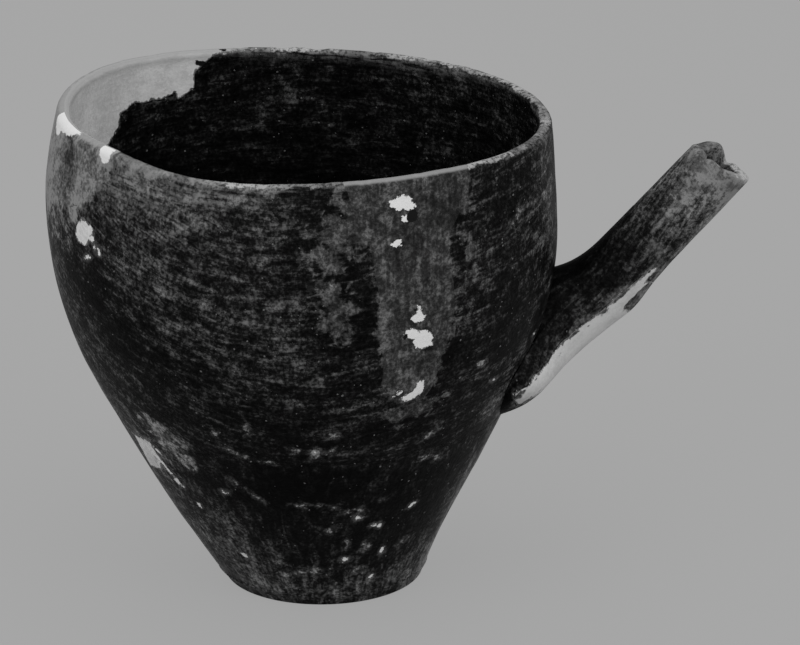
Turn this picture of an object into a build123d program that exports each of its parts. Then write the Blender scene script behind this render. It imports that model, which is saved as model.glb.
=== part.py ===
"""A hand-built spouted drinking cup of dark burnished clay, mended with plaster.

The cup is built up from a flat disc and two bands of clay that lap over each other
on bevelled joints. A rolled clay tube passes through a hole in the wall as a spout,
and a collar of luting clay holds it. Plaster fills take the place of lost sherds, each
cut to the edge of its own break. Millimetres, +Z up, origin at the middle of the base,
on the surface that the cup stands on, with the spout towards +X.
"""
from build123d import *
from math import cos, radians, sin
import os

# Driving sizes of the vessel
cup_height = 153.0
belly_radius = 79.6
base_radius = 31.7
wall_thickness = 4.4
foot_wall_thickness = 7.2
floor_thickness = 7.0
floor_radius = 27.0
floor_corner_radius = 6.0
base_edge_radius = 1.2
belly_lean = 5.4
lip_wave = 2.6

# Joints between the bands of clay
disc_edge_height = 4.0
disc_lap = 5.0
seam_height = 59.5
seam_lap = 8.0

# Spout
spout_root_height = 75.3
spout_root_sink = 0.8
spout_radius = 10.35
spout_bore_radius = 5.65
spout_bend_length = 41.0
spout_straight_length = 44.5
spout_tenon = 34.0
spout_root_angle = 37.5
spout_tip_angle = 47.5
mouth_slant = 11.0
mouth_edge_radius = 1.6

# Luting collar at the spout's root
collar_length = 46.0
collar_width = 32.0
collar_depth = 13.0
collar_angle = 42.0

# Plaster fills: depths and drops of those near the lip are taken from the lip down, and
# the low fill's drop from the seam down
front_fill_azimuth = -68.0
front_fill_width = 41.0
front_fill_depth = 74.5
rim_fill_azimuth = 162.0
rim_fill_width = 138.0
rim_fill_depth = 24.5
closing_offset = 10.0
side_plug_azimuth = -145.0
side_plug_drop = 24.2
side_plug_width = 10.4
side_plug_length = 8.8
thumb_plug_azimuth = -150.0
thumb_plug_drop = 20.2
thumb_plug_width = 5.2
thumb_plug_length = 6.6
low_fill_azimuth = -149.0
low_fill_drop = 8.0
low_fill_width = 13.0
low_fill_length = 14.8
skim_depth = 2.6

# How far a cutting shape runs past what it cuts
overrun = 10.0

# Heights as shares of the cup's height, girths as shares of the way from the base
# radius to the belly radius, leans as shares of the belly's lean, and walls as
# shares of the way from the belly wall to the foot wall
height_shares = [0.0, 0.078, 0.163, 0.261, 0.359, 0.490, 0.621, 0.752, 0.863, 0.980, 1.098]
girth_shares = [0.0, 0.128, 0.278, 0.449, 0.608, 0.810, 0.946, 1.0, 0.996, 0.956, 0.896]
lean_shares = [0.0, 0.31, 0.49, 0.57, 0.65, 0.74, 0.83, 0.94, 1.0, 0.85, 0.63]
wall_shares = [1.0, 0.71, 0.42, 0.28, 0.18, 0.10, 0.05, 0.0, 0.0, 0.0, 0.0]

# The lip's rise and fall round the cup, as shares of the lip's wave: towards the
# spout, towards the back, across the saddle, on the twist and in the third waves
lip_tilt_share = -1.0
lip_side_share = 0.08
lip_saddle_share = 0.26
lip_twist_share = -0.43
lip_third_share = -0.21
lip_third_side_share = 0.15
lip_round_share = 0.43
lip_grid_count = 8
oval_step_count = 2

# Outlines of the breaks: places across as shares of half the fill's width, and heights
# above the fill's foot or middle as shares of its depth or of half its length
front_fill_shares = [
    (-1.0, 1.1), (-0.98, 0.99), (-0.88, 0.87), (-0.68, 0.76), (-0.58, 0.63), (-0.52, 0.51),
    (-0.56, 0.38), (-0.43, 0.25), (-0.42, 0.13), (-0.14, 0.03), (0.24, 0.0), (0.40, 0.07),
    (0.49, 0.20), (0.66, 0.32), (0.70, 0.45), (0.65, 0.60), (0.57, 0.73), (0.85, 0.82),
    (1.0, 0.90), (1.02, 1.1),
]
rim_fill_shares = [
    (-0.885, 1.3), (-0.885, 1.02), (-0.80, 0.97), (-0.725, 0.86), (-0.70, 0.57), (-0.645, 0.42),
    (-0.62, 0.51), (-0.42, 0.51), (-0.34, 0.41), (-0.325, 0.22), (-0.25, 0.0), (0.0, 0.10),
    (0.22, 0.45), (0.41, 0.71), (0.75, 0.78), (0.92, 0.80), (0.95, 0.47), (0.985, 0.43),
    (0.99, 0.88), (1.0, 1.3),
]
side_plug_shares = [
    (-0.20, 1.0), (1.0, 0.55), (0.92, -0.02), (0.42, -0.89), (-0.67, -1.0), (-1.0, -0.45),
    (-0.65, 0.43),
]
thumb_plug_shares = [(-0.9, -0.1), (0.1, 1.0), (1.0, 0.75), (0.95, -0.45), (-0.1, -1.0)]
low_fill_shares = [(-0.70, 0.78), (0.98, 0.97), (1.0, -0.12), (0.35, -0.75), (-1.0, -1.0)]

# The collar's sections at even steps along the spout: half width as a share of its
# width, and its underside and top as shares of its depth
collar_start_share = -0.45
collar_step_share = 0.20
collar_shares = [
    (0.62, -0.66, 0.38), (0.88, -0.82, 0.73), (0.95, -0.86, 0.92), (0.63, -0.885, 1.08),
    (0.445, -0.91, 1.13), (0.375, -0.94, 0.99), (0.35, -0.965, 0.85), (0.338, -0.85, 0.87),
]

# The skim of plaster under the spout: places along it as shares of the collar's
# length and across it as shares of the collar's depth
skim_shares = [
    (-0.16, 0.13), (-0.02, -0.08), (0.14, -0.10), (0.27, -0.19), (0.43, -0.23), (0.56, -0.28),
    (0.68, -0.21), (0.88, -0.34), (0.93, -0.50), (0.93, -1.3), (0.25, -1.3), (0.0, -0.90),
    (-0.16, -0.68), (-0.33, -0.55),
]


def blend(share, low, high):
    """Gives the value a share of the way from low to high."""
    return low + share * (high - low)


def facing(azimuth):
    """Gives the upright plane through the cup's axis that looks out at an azimuth."""
    turn = radians(azimuth)
    return Plane(origin=(0, 0, 0), x_dir=(-sin(turn), cos(turn), 0), z_dir=(cos(turn), sin(turn), 0))


def lip_height(across, deep):
    """Gives the lip's height above the table at a place in plan."""
    towards, side = across / belly_radius, deep / belly_radius
    waves = lip_tilt_share * towards + lip_side_share * side
    waves += lip_saddle_share * (towards**2 - side**2) + lip_twist_share * 2 * towards * side
    waves += lip_third_share * (4 * towards**3 - 3 * towards)
    waves += lip_third_side_share * (3 * side - 4 * side**3)
    return cup_height + lip_wave * waves


def circles(rows):
    """Lofts a solid through level circles, given as height, radius and lean.

    The circles close on themselves beside the middle of the rim fill, where that break takes
    the line out of the lip.
    """
    closing = radians(rim_fill_azimuth + closing_offset)
    closing_way = (cos(closing), sin(closing), 0)
    with BuildPart() as form:
        for height, radius, lean in rows:
            with BuildSketch(Plane(origin=(lean, 0, height), x_dir=closing_way, z_dir=(0, 0, 1))):
                Circle(radius)
        loft()
    return form.part


def oval(half_width, half_depth):
    """Gives the points round a smooth oval, from its right-hand side."""
    turns = [radians(90 * step / oval_step_count) for step in range(4 * oval_step_count)]
    return [(half_width * cos(turn), half_depth * sin(turn)) for turn in turns]


def under_cone(outer_height, outer_radius, rise, lean):
    """Gives the solid under a cone that climbs by the rise through the wall at a joint."""
    slope = rise / wall_thickness
    far = outer_radius + overrun
    with BuildPart() as cone:
        with BuildSketch(Plane(origin=(lean, 0, 0), x_dir=(1, 0, 0), z_dir=(0, -1, 0))):
            with BuildLine():
                Polyline(
                    (0, -overrun),
                    (far, -overrun),
                    (far, outer_height - overrun * slope),
                    (0, outer_height + outer_radius * slope),
                    close=True,
                )
            make_face()
        revolve(axis=Axis((lean, 0, 0), (0, 0, 1)))
    return cone.part


def wall_cutter(azimuth, half_width, foot, rise, shares):
    """Gives a prism that runs out from the axis through the wall along a break's outline."""
    outline = [(half_width * across, foot + rise * up) for across, up in shares]
    with BuildPart() as prism:
        with BuildSketch(facing(azimuth)):
            with BuildLine():
                Polyline(*outline, close=True)
            make_face()
        extrude(amount=belly_radius + overrun)
    return prism.part


# The outer and inner forms of the wall, as rows of height, radius and lean
outer_rows = []
inner_rows = [(floor_thickness, floor_radius, 0)]
for height_share, girth_share, lean_share, wall_share in zip(
    height_shares, girth_shares, lean_shares, wall_shares
):
    height = height_share * cup_height
    radius = blend(girth_share, base_radius, belly_radius)
    lean = -lean_share * belly_lean
    wall = blend(wall_share, wall_thickness, foot_wall_thickness)
    outer_rows.append((height, radius, lean))
    if height > floor_thickness + floor_corner_radius:
        inner_rows.append((height, radius - wall, lean))


def outer_place(height):
    """Gives the outer wall's radius and lean at a height, on a straight line between circles."""
    for (low, low_radius, low_lean), (high, high_radius, high_lean) in zip(outer_rows, outer_rows[1:]):
        if height <= high:
            share = (height - low) / (high - low)
            return blend(share, low_radius, high_radius), blend(share, low_lean, high_lean)
    return outer_rows[-1][1:]


outer_form = circles(outer_rows)
inner_form = circles(inner_rows)

# The trimming surface that gives the lip its slow waves
lip_reach = belly_radius + belly_lean + overrun
lip_steps = [lip_reach * (2 * step / lip_grid_count - 1) for step in range(lip_grid_count + 1)]
lip_surface = Face.make_surface_from_array_of_points(
    [[(x, y, lip_height(x, y)) for y in lip_steps] for x in lip_steps]
)

# The whole bowl before it is parted into its bands, with a rounded lip
with BuildPart() as bowl:
    add(outer_form)
    fillet(bowl.edges().group_by(Axis.Z)[0], base_edge_radius)
    add(inner_form, mode=Mode.SUBTRACT)
    fillet(bowl.faces().filter_by(Plane.XY).sort_by(Axis.Z)[1].edges(), floor_corner_radius)
    extrude(to_extrude=lip_surface, amount=cup_height, dir=(0, 0, 1), mode=Mode.SUBTRACT)
    lip_edges = bowl.edges().filter_by(lambda edge: edge.center().Z > cup_height - overrun)
    fillet(lip_edges.filter_by(lambda edge: edge.length > belly_radius), lip_round_share * wall_thickness)

# The bevelled joints between disc, lower band and upper band
disc_edge_radius, disc_lean = outer_place(disc_edge_height)
seam_radius, seam_lean = outer_place(seam_height)
below_disc_joint = under_cone(disc_edge_height, disc_edge_radius, disc_lap, disc_lean)
below_seam = under_cone(seam_height, seam_radius, seam_lap, seam_lean)

# The spout's centre line: a straight tenon, a slow bend and a straight run, rooted a
# little inside the wall's outer face
root_radius, root_lean = outer_place(spout_root_height)
spout_reach = root_radius + root_lean - spout_root_sink
root_turn = radians(spout_root_angle)
root_way = (cos(root_turn), sin(root_turn))
bend_turn = spout_tip_angle - spout_root_angle
bend_radius = spout_bend_length / radians(bend_turn)
with BuildLine(Plane.XZ) as spout_path:
    tenon_line = Line(
        (spout_reach - spout_tenon * root_way[0], spout_root_height - spout_tenon * root_way[1]),
        (spout_reach, spout_root_height),
    )
    bend = JernArc(start=tenon_line @ 1, tangent=tenon_line % 1, radius=bend_radius, arc_size=bend_turn)
    straight = PolarLine(start=bend @ 1, length=spout_straight_length + overrun, angle=spout_tip_angle)
mouth_way = radians(spout_tip_angle + mouth_slant)
mouth_centre = straight.position_at(spout_straight_length / (spout_straight_length + overrun))
mouth_plane = Plane(origin=mouth_centre, z_dir=(cos(mouth_way), 0, sin(mouth_way)))


def tube_form(radius):
    """Gives a round bar of a radius along the spout's centre line."""
    with BuildPart() as bar:
        with BuildSketch(Plane(origin=spout_path.line @ 0, z_dir=spout_path.line % 0)):
            Circle(radius)
        sweep(path=spout_path.line)
    return bar.part


spout_bar = tube_form(spout_radius)
spout_bore = tube_form(spout_bore_radius)
spout_core = tube_form(spout_radius - skim_depth)

# The flared form of the luting collar, as a loft of ovals square to the spout
collar_turn = radians(collar_angle)
collar_way = (cos(collar_turn), 0, sin(collar_turn))
spout_side_plane = Plane(
    origin=(spout_reach, 0, spout_root_height), x_dir=collar_way, z_dir=(0, -1, 0)
)
with BuildPart() as collar_form:
    for step, (width_share, under_share, top_share) in enumerate(collar_shares):
        along_share = collar_start_share + step * collar_step_share
        middle = (under_share + top_share) / 2 * collar_depth
        section_centre = spout_side_plane.from_local_coords((along_share * collar_length, middle, 0))
        with BuildSketch(Plane(origin=section_centre, x_dir=(0, 1, 0), z_dir=collar_way)):
            with BuildLine():
                half_depth = (top_share - under_share) / 2 * collar_depth
                Spline(*oval(width_share * collar_width, half_depth), periodic=True)
            make_face()
    loft()

# The room for the skim under the spout's root: a ragged slab outside the wall that
# stops short of the tube's core
with BuildPart() as skim_room:
    with BuildSketch(spout_side_plane):
        with BuildLine():
            Polyline(
                *[(along * collar_length, across * collar_depth) for along, across in skim_shares],
                close=True,
            )
        make_face()
    extrude(amount=collar_width + overrun, both=True)
    add(spout_core, mode=Mode.SUBTRACT)
    add(outer_form, mode=Mode.SUBTRACT)

# The ragged outlines of the fills in the wall
front_cut = wall_cutter(
    front_fill_azimuth,
    front_fill_width / 2,
    cup_height - front_fill_depth,
    front_fill_depth,
    front_fill_shares,
)
rim_cut = wall_cutter(
    rim_fill_azimuth, rim_fill_width / 2, cup_height - rim_fill_depth, rim_fill_depth, rim_fill_shares
)
side_plug_cut = wall_cutter(
    side_plug_azimuth,
    side_plug_width / 2,
    cup_height - side_plug_drop,
    side_plug_length / 2,
    side_plug_shares,
)
thumb_plug_cut = wall_cutter(
    thumb_plug_azimuth,
    thumb_plug_width / 2,
    cup_height - thumb_plug_drop,
    thumb_plug_length / 2,
    thumb_plug_shares,
)
low_fill_cut = wall_cutter(
    low_fill_azimuth,
    low_fill_width / 2,
    seam_height - low_fill_drop,
    low_fill_length / 2,
    low_fill_shares,
)

# The disc that the cup stands on
with BuildPart() as base_disc:
    add(bowl.part)
    add(below_disc_joint, mode=Mode.INTERSECT)

# The lower band, straight-sided, seated on the disc's bevelled edge
with BuildPart() as lower_wall:
    add(bowl.part)
    add(below_seam, mode=Mode.INTERSECT)
    for cut in (below_disc_joint, spout_bar, front_cut, low_fill_cut):
        add(cut, mode=Mode.SUBTRACT)

# The plaster fill in the rim, and the bowl that is left round it
with BuildPart() as rim_fill:
    add(bowl.part)
    add(rim_cut, mode=Mode.INTERSECT)
with BuildPart() as broken_bowl:
    add(bowl.part)
    add(rim_cut, mode=Mode.SUBTRACT)

# The upper band, rounded and drawn in to the lip, lapped over the lower band
with BuildPart() as upper_wall:
    add(broken_bowl.part)
    for cut in (front_cut, below_seam, spout_bar, side_plug_cut, thumb_plug_cut, low_fill_cut):
        add(cut, mode=Mode.SUBTRACT)

# The other plaster fills, each the piece of the bowl that its break lost
with BuildPart() as front_fill:
    add(broken_bowl.part)
    add(front_cut, mode=Mode.INTERSECT)
with BuildPart() as side_plug:
    add(bowl.part)
    add(side_plug_cut, mode=Mode.INTERSECT)
with BuildPart() as thumb_plug:
    add(bowl.part)
    add(thumb_plug_cut, mode=Mode.INTERSECT)
with BuildPart() as low_fill:
    add(bowl.part)
    add(low_fill_cut, mode=Mode.INTERSECT)

# The skim of plaster on the underside of the spout's root
with BuildPart() as spout_skim:
    add(collar_form.part)
    add(skim_room.part, mode=Mode.INTERSECT)

# The spout, open from its worn mouth to the inside of the cup
with BuildPart() as spout_tube:
    add(spout_bar)
    split(bisect_by=mouth_plane, keep=Keep.BOTTOM)
    fillet(spout_tube.faces().sort_by(Axis.Z)[-1].edges(), mouth_edge_radius)
    add(spout_bore, mode=Mode.SUBTRACT)
    add(inner_form, mode=Mode.SUBTRACT)
    add(skim_room.part, mode=Mode.SUBTRACT)

# The collar of luting clay between the spout and the outside of the wall
with BuildPart() as spout_collar:
    add(collar_form.part)
    for body in (outer_form, spout_bar, skim_room.part):
        add(body, mode=Mode.SUBTRACT)

os.makedirs("parts", exist_ok=True)

base_disc.part.label = "base_disc"
export_step(base_disc.part, "parts/base_disc.step")
lower_wall.part.label = "lower_wall"
export_step(lower_wall.part, "parts/lower_wall.step")
upper_wall.part.label = "upper_wall"
export_step(upper_wall.part, "parts/upper_wall.step")
spout_tube.part.label = "spout_tube"
export_step(spout_tube.part, "parts/spout_tube.step")
spout_collar.part.label = "spout_collar"
export_step(spout_collar.part, "parts/spout_collar.step")
spout_skim.part.label = "spout_skim"
export_step(spout_skim.part, "parts/spout_skim.step")
front_fill.part.label = "front_fill"
export_step(front_fill.part, "parts/front_fill.step")
rim_fill.part.label = "rim_fill"
export_step(rim_fill.part, "parts/rim_fill.step")
side_plug.part.label = "side_plug"
export_step(side_plug.part, "parts/side_plug.step")
thumb_plug.part.label = "thumb_plug"
export_step(thumb_plug.part, "parts/thumb_plug.step")
low_fill.part.label = "low_fill"
export_step(low_fill.part, "parts/low_fill.step")
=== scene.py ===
"""Looks of a hand-built, dark burnished cup with a long spout, mended with plaster.

The cup's wall is one leaning, wavy form of revolution. It is worked out once, as an outer
and an inner sheet on one grid of azimuths and heights, and parted along the outlines of the
old breaks into clay and plaster. The spout is a tube carried along a bent line, and its root
is a flared sleeve parted into clay and plaster in the same way. Sizes are in millimetres and
become metres where a mesh is made. +Z is up and +X points towards the spout.
"""

import itertools
import logging
import math
from dataclasses import dataclass, field
from enum import Enum, IntEnum
from typing import Callable

import bpy
import numpy as np
from mathutils import Matrix, Vector

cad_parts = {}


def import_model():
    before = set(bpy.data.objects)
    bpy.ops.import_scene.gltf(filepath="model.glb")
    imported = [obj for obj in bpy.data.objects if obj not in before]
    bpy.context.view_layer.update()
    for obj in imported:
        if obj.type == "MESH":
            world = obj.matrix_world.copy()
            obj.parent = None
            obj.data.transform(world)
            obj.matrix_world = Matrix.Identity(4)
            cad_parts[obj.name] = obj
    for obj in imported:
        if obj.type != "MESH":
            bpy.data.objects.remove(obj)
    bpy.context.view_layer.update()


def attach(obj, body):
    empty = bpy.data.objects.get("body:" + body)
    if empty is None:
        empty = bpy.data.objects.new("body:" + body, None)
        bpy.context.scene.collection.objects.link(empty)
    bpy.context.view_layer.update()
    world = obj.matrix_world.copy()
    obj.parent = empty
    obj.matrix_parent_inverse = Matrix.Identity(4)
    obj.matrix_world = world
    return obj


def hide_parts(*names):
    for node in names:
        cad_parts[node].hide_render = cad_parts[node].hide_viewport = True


LOG = logging.getLogger("cup")
MILLIMETRE = 0.001
FINISH = "_finish"
SHARP_ANGLE = math.radians(50.0)
FAR_OUTSIDE = -8.0
ROUNDING = 0.001
HALVINGS = 30
LATTICE_VALUES = 8191
LATTICE_PRIMES = (73856093, 19349663, 83492791)
Place = tuple[float, float]
Triple = tuple[float, float, float]
Zone = tuple[float, float, float, float, float]
Layer = tuple[float, float, int]
Field = np.ndarray
Marks = dict[str, np.ndarray]
Socket = bpy.types.NodeSocket
Sockets = bpy.types.bpy_prop_collection
Value = float | tuple[float, ...] | Socket
Weights = tuple[tuple[str, float], ...]
Stops = tuple[Place, ...]


class Seed(IntEnum):
    """What each noise is seeded with, so that every run gives the same cup."""

    RIM_BREAK = 11
    FRONT_BREAK = 12
    SIDE_BREAK = 13
    THUMB_BREAK = 14
    LOW_BREAK = 15
    WALL_SWELLS = 21
    WALL_FACETS = 22
    INNER_SWELLS = 23
    LIP_CHIPS = 31
    LIP_CRUMBS = 32
    LIP_SWELLS = 33
    MOUTH_SWELLS = 41
    MOUTH_CRUMBS = 42
    TUBE_SWELLS = 43
    TUBE_FACETS = 44
    SKIM_BORDER = 51
    SKIM_CRUMBS = 52
    SLEEVE_SWELLS = 53
    SKIM_STREAKS = 54


# Shared sums

def smooth_through(knots: np.ndarray, values: np.ndarray, places: np.ndarray) -> np.ndarray:
    """Runs a curve of steady bend through values at knots.

    It is a natural cubic: each span is a cubic, slopes and bends agree where spans meet, and
    the bend is nothing at both ends.

    Args:
        knots: rising places where the values are known.
        values: what the curve passes through.
        places: where it is wanted, inside the knots.
    Returns:
        The curve's values at the places.
    """
    gaps = np.diff(knots)
    inner = np.arange(1, len(knots) - 1)
    matrix = np.eye(len(knots))
    matrix[inner, inner - 1] = gaps[:-1]
    matrix[inner, inner] = 2 * (gaps[:-1] + gaps[1:])
    matrix[inner, inner + 1] = gaps[1:]
    turns = np.zeros(len(knots))
    turns[1:-1] = 6 * np.diff(np.diff(values) / gaps)
    bends = np.linalg.solve(matrix, turns)
    span = np.clip(np.searchsorted(knots, places, side="right") - 1, 0, len(gaps) - 1)
    before, after, gap = places - knots[span], knots[span + 1] - places, gaps[span]
    cubics = (bends[span] * after**3 + bends[span + 1] * before**3) / (6 * gap)
    left = (values[span] / gap - bends[span] * gap / 6) * after
    right = (values[span + 1] / gap - bends[span + 1] * gap / 6) * before
    return cubics + left + right


def ease(low: float, high: float, places: np.ndarray) -> np.ndarray:
    """Gives 0 below low, 1 above high and a smooth step, 3s² - 2s³, between them."""
    share = np.clip((places - low) / (high - low), 0, 1)
    return share * share * (3 - 2 * share)


def hill(offset: np.ndarray, reach: float) -> np.ndarray:
    """Gives a bell of height 1 that falls off with the square of offset over reach."""
    return np.exp(-((offset / reach) ** 2))


def turn_from(azimuths: np.ndarray, middle: float) -> np.ndarray:
    """Gives azimuths in degrees as turns from a middle one, from -180 to 180."""
    return (azimuths - middle + 180) % 360 - 180


def rise_round(degrees: np.ndarray, rises: tuple[Triple, ...]) -> np.ndarray:
    """Sums bells over an angle, each with its height, its middle and its reach in degrees."""
    return sum(high * hill(turn_from(degrees, middle), reach) for high, middle, reach in rises)


def rise_over(degrees: np.ndarray, lengths: np.ndarray, zones: tuple[Zone, ...]) -> np.ndarray:
    """Sums bells over an angle and a length.

    Args:
        degrees: angles of the places.
        lengths: their heights, or lengths along the spout.
        zones: each bell's height, its middle in degrees and in millimetres, and its reach in
            both.
    Returns:
        The sums.
    """
    return sum(
        high * hill(turn_from(degrees, angle), wide) * hill(lengths - length, tall)
        for high, angle, length, wide, tall in zones
    )


def noise(points: np.ndarray, size: float, seed: int) -> np.ndarray:
    """Gives smooth noise from -1 to 1 in space.

    Each corner of a lattice of cubes has a random value, and a point blends the eight round
    it by smooth steps.

    Args:
        points: places, the last axis being x, y, z.
        size: edge of a cube.
        seed: picks the random values.
    Returns:
        One value for each point.
    """
    values = np.random.default_rng(int(seed)).uniform(-1, 1, LATTICE_VALUES)
    cell = np.floor(points / size).astype(np.int64)
    rest = points / size - cell
    fade = rest * rest * (3 - 2 * rest)
    total = np.zeros(points.shape[:-1])
    for corner in itertools.product((0, 1), repeat=3):
        index = ((cell + corner) * LATTICE_PRIMES).sum(axis=-1) % LATTICE_VALUES
        total += values[index] * np.where(corner, fade, 1 - fade).prod(axis=-1)
    return total


def layered(points: np.ndarray, layers: tuple[Layer, ...]) -> np.ndarray:
    """Sums noises, each given by its weight, the edge of its cubes and its seed."""
    return sum(weight * noise(points, size, seed) for weight, size, seed in layers)


def depth_inside(along: np.ndarray, up: np.ndarray, outline: list[Place]) -> Field:
    """Gives how far places lie inside a closed outline, less than 0 outside it.

    The distance is to the nearest edge, and a place is inside where a line from it crosses
    the edges an odd number of times.

    Args:
        along: first coordinate of the places.
        up: second coordinate.
        outline: the corners, in order.
    Returns:
        The distances.
    """
    nearest = np.full(along.shape, np.inf)
    inside = np.zeros(along.shape, dtype=bool)
    for (left, low), (right, high) in zip(outline, outline[1:] + outline[:1]):
        run, rise = right - left, high - low
        share = np.clip(((along - left) * run + (up - low) * rise) / (run**2 + rise**2), 0, 1)
        nearest = np.minimum(nearest, np.hypot(along - left - share * run, up - low - share * rise))
        if rise:
            crossing = (low > up) != (high > up)
            inside ^= crossing & (along < left + (up - low) * run / rise)
    return np.where(inside, nearest, -nearest)


# Meshes

@dataclass
class Skin:
    """A surface's vertices, its faces and the values that its material reads."""

    points: np.ndarray
    faces: list[np.ndarray]
    marks: dict[str, np.ndarray]

    def piece(self, name: str, node: str, slot: str) -> bpy.types.Object:
        """Makes the Blender object that stands for a CAD node.

        Args:
            name: the new object's name.
            node: the CAD node that it replaces.
            slot: the record's material slot, whose finish it takes.
        Returns:
            The object, riding on the cup's one body.
        """
        mesh = bpy.data.meshes.new(name)
        faces = [face for group in self.faces for face in group.tolist()]
        mesh.from_pydata((self.points * MILLIMETRE).tolist(), [], faces)
        for mark, values in self.marks.items():
            vector = values.ndim > 1
            layer = mesh.attributes.new(mark, "FLOAT_VECTOR" if vector else "FLOAT", "POINT")
            layer.data.foreach_set("vector" if vector else "value", values.astype(np.float32).ravel())
        mesh.shade_smooth()
        mesh.set_sharp_from_angle(angle=SHARP_ANGLE)
        mesh.materials.append(bpy.data.materials[slot + FINISH])
        piece = bpy.data.objects.new(name, mesh)
        bpy.context.scene.collection.objects.link(piece)
        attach(piece, "root")
        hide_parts(node)
        LOG.info("%s: %d faces", name, len(faces))
        return piece


def ring_faces(rows: int, columns: int, closed: bool) -> np.ndarray:
    """Gives the four-sided faces of a grid whose columns run round.

    Args:
        rows: how many rows of vertices there are.
        columns: how many vertices a row has.
        closed: whether the last row joins the first.
    Returns:
        Corner numbers, four to a face, counted row by row.
    """
    row, column = np.mgrid[0 : rows if closed else rows - 1, 0:columns]
    above, beside = (row + 1) % rows, (column + 1) % columns
    ways = ((row, column), (row, beside), (above, beside), (above, column))
    return np.stack([line * columns + place for line, place in ways], axis=-1).reshape(-1, 4)


def flat_marks(marks: Marks) -> Marks:
    """Lays the marks of a grid out as those of one row of vertices."""
    return {name: mark.reshape(-1, *mark.shape[2:]) for name, mark in marks.items()}


@dataclass
class Sheet:
    """An outer and an inner surface on one grid, which runs round in its columns.

    A part of it is cut out as a solid with the outer face, the inner face and an edge strip
    that joins them along the cut.
    """

    outer: np.ndarray
    inner: np.ndarray
    outer_marks: dict[str, np.ndarray]
    inner_marks: dict[str, np.ndarray]
    top_meets: bool

    def cut(self, depth: Field) -> Skin:
        """Cuts out the part of the sheet where a field is over nothing.

        The outer face is the grid's triangles, parted along the field's zero line, and the
        inner face is the same ones turned over. A strip joins each edge that has a triangle
        on one side only to its partner on the inner face. Where the last row is a crest, both
        faces share its vertices.

        Args:
            depth: the field at each place of the grid.
        Returns:
            The part as a closed surface.
        """
        rows, columns = depth.shape
        kept, first, second, share = self._parted(depth)
        used, corner = np.unique(kept, return_inverse=True)
        kept = corner.reshape(kept.shape)

        def spread(grid: np.ndarray) -> np.ndarray:
            """Gives a grid's values at the vertices that are kept, the new ones blended."""
            flat = grid.reshape(depth.size, -1)
            return np.concatenate((flat, flat[first] * (1 - share) + flat[second] * share))[used]

        edges = kept[:, ((0, 1), (1, 2), (2, 0))].reshape(-1, 2)
        ways = edges[:, 0] * len(used) + edges[:, 1]
        backs = edges[:, 1] * len(used) + edges[:, 0]
        border = edges[~np.isin(ways, backs)]
        partner = np.arange(len(used)) + len(used)
        if self.top_meets:
            row_of = spread(np.repeat(np.arange(rows, dtype=float)[:, None], columns, axis=1))[:, 0]
            crest = row_of > rows - 1 - ROUNDING
            partner[crest] = np.flatnonzero(crest)
            border = border[~crest[border].all(axis=1)]
        strip = np.stack((border[:, 1], border[:, 0], partner[border[:, 0]], partner[border[:, 1]]), axis=1)
        first_meets, second_meets = strip[:, 1] == strip[:, 2], strip[:, 0] == strip[:, 3]
        meets = first_meets | second_meets
        corners = np.where(first_meets[:, None], strip[:, (0, 2, 3)], strip[:, (0, 1, 2)])
        marks = {
            name: np.concatenate((spread(self.outer_marks[name]), spread(self.inner_marks[name])))
            for name in self.outer_marks
        }
        return Skin(
            np.concatenate((spread(self.outer), spread(self.inner))),
            [kept, partner[kept[:, ::-1]], strip[~meets], corners[meets]],
            {name: mark if mark.shape[1] > 1 else mark[:, 0] for name, mark in marks.items()},
        )

    @classmethod
    def _parted(cls, depth: Field) -> tuple[np.ndarray, ...]:
        """Parts the grid's triangles along a field's zero line.

        Each cell is two triangles. A triangle that the line crosses is parted at the places
        on its edges where the field, taken as straight along the edge, is nothing.

        Args:
            depth: the field at each place of the grid.
        Returns:
            The corner numbers of the triangles that are kept, where numbers past the grid's
            are new vertices on the line, and for each of these both ends of its edge and how
            far along the edge it lies.
        """
        quads = ring_faces(*depth.shape, closed=False)
        triangles = np.concatenate((quads[:, (0, 1, 2)], quads[:, (0, 2, 3)]))
        values = depth.ravel()
        count = (values[triangles] > 0).sum(axis=1)
        tips, low, high = cls._odd_first(triangles[count == 1], values, True)
        gone, near, far = cls._odd_first(triangles[count == 2], values, False)
        starts = np.concatenate((tips, tips, near, far))
        ends = np.concatenate((low, high, gone, gone))
        keys = np.minimum(starts, ends) * values.size + np.maximum(starts, ends)
        keys, number = np.unique(keys, return_inverse=True)
        groups = np.cumsum((len(tips), len(tips), len(gone)))
        at_low, at_high, at_near, at_far = np.split(number.ravel() + values.size, groups)
        first, second = keys // values.size, keys % values.size
        share = (values[first] / (values[first] - values[second]))[:, None]
        kept = np.concatenate((
            triangles[count == 3],
            np.stack((tips, at_low, at_high), axis=1),
            np.stack((at_near, near, far), axis=1),
            np.stack((at_near, far, at_far), axis=1),
        ))
        return kept, first, second, share

    @staticmethod
    def _odd_first(triangles: np.ndarray, values: np.ndarray, inside: bool) -> tuple[np.ndarray, ...]:
        """Turns each triangle so that its one corner on the given side of zero comes first."""
        odd = np.argmax((values[triangles] > 0) == inside, axis=1)
        line = np.arange(len(triangles))
        return tuple(triangles[line, (odd + step) % 3] for step in range(3))


# The wall

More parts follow.
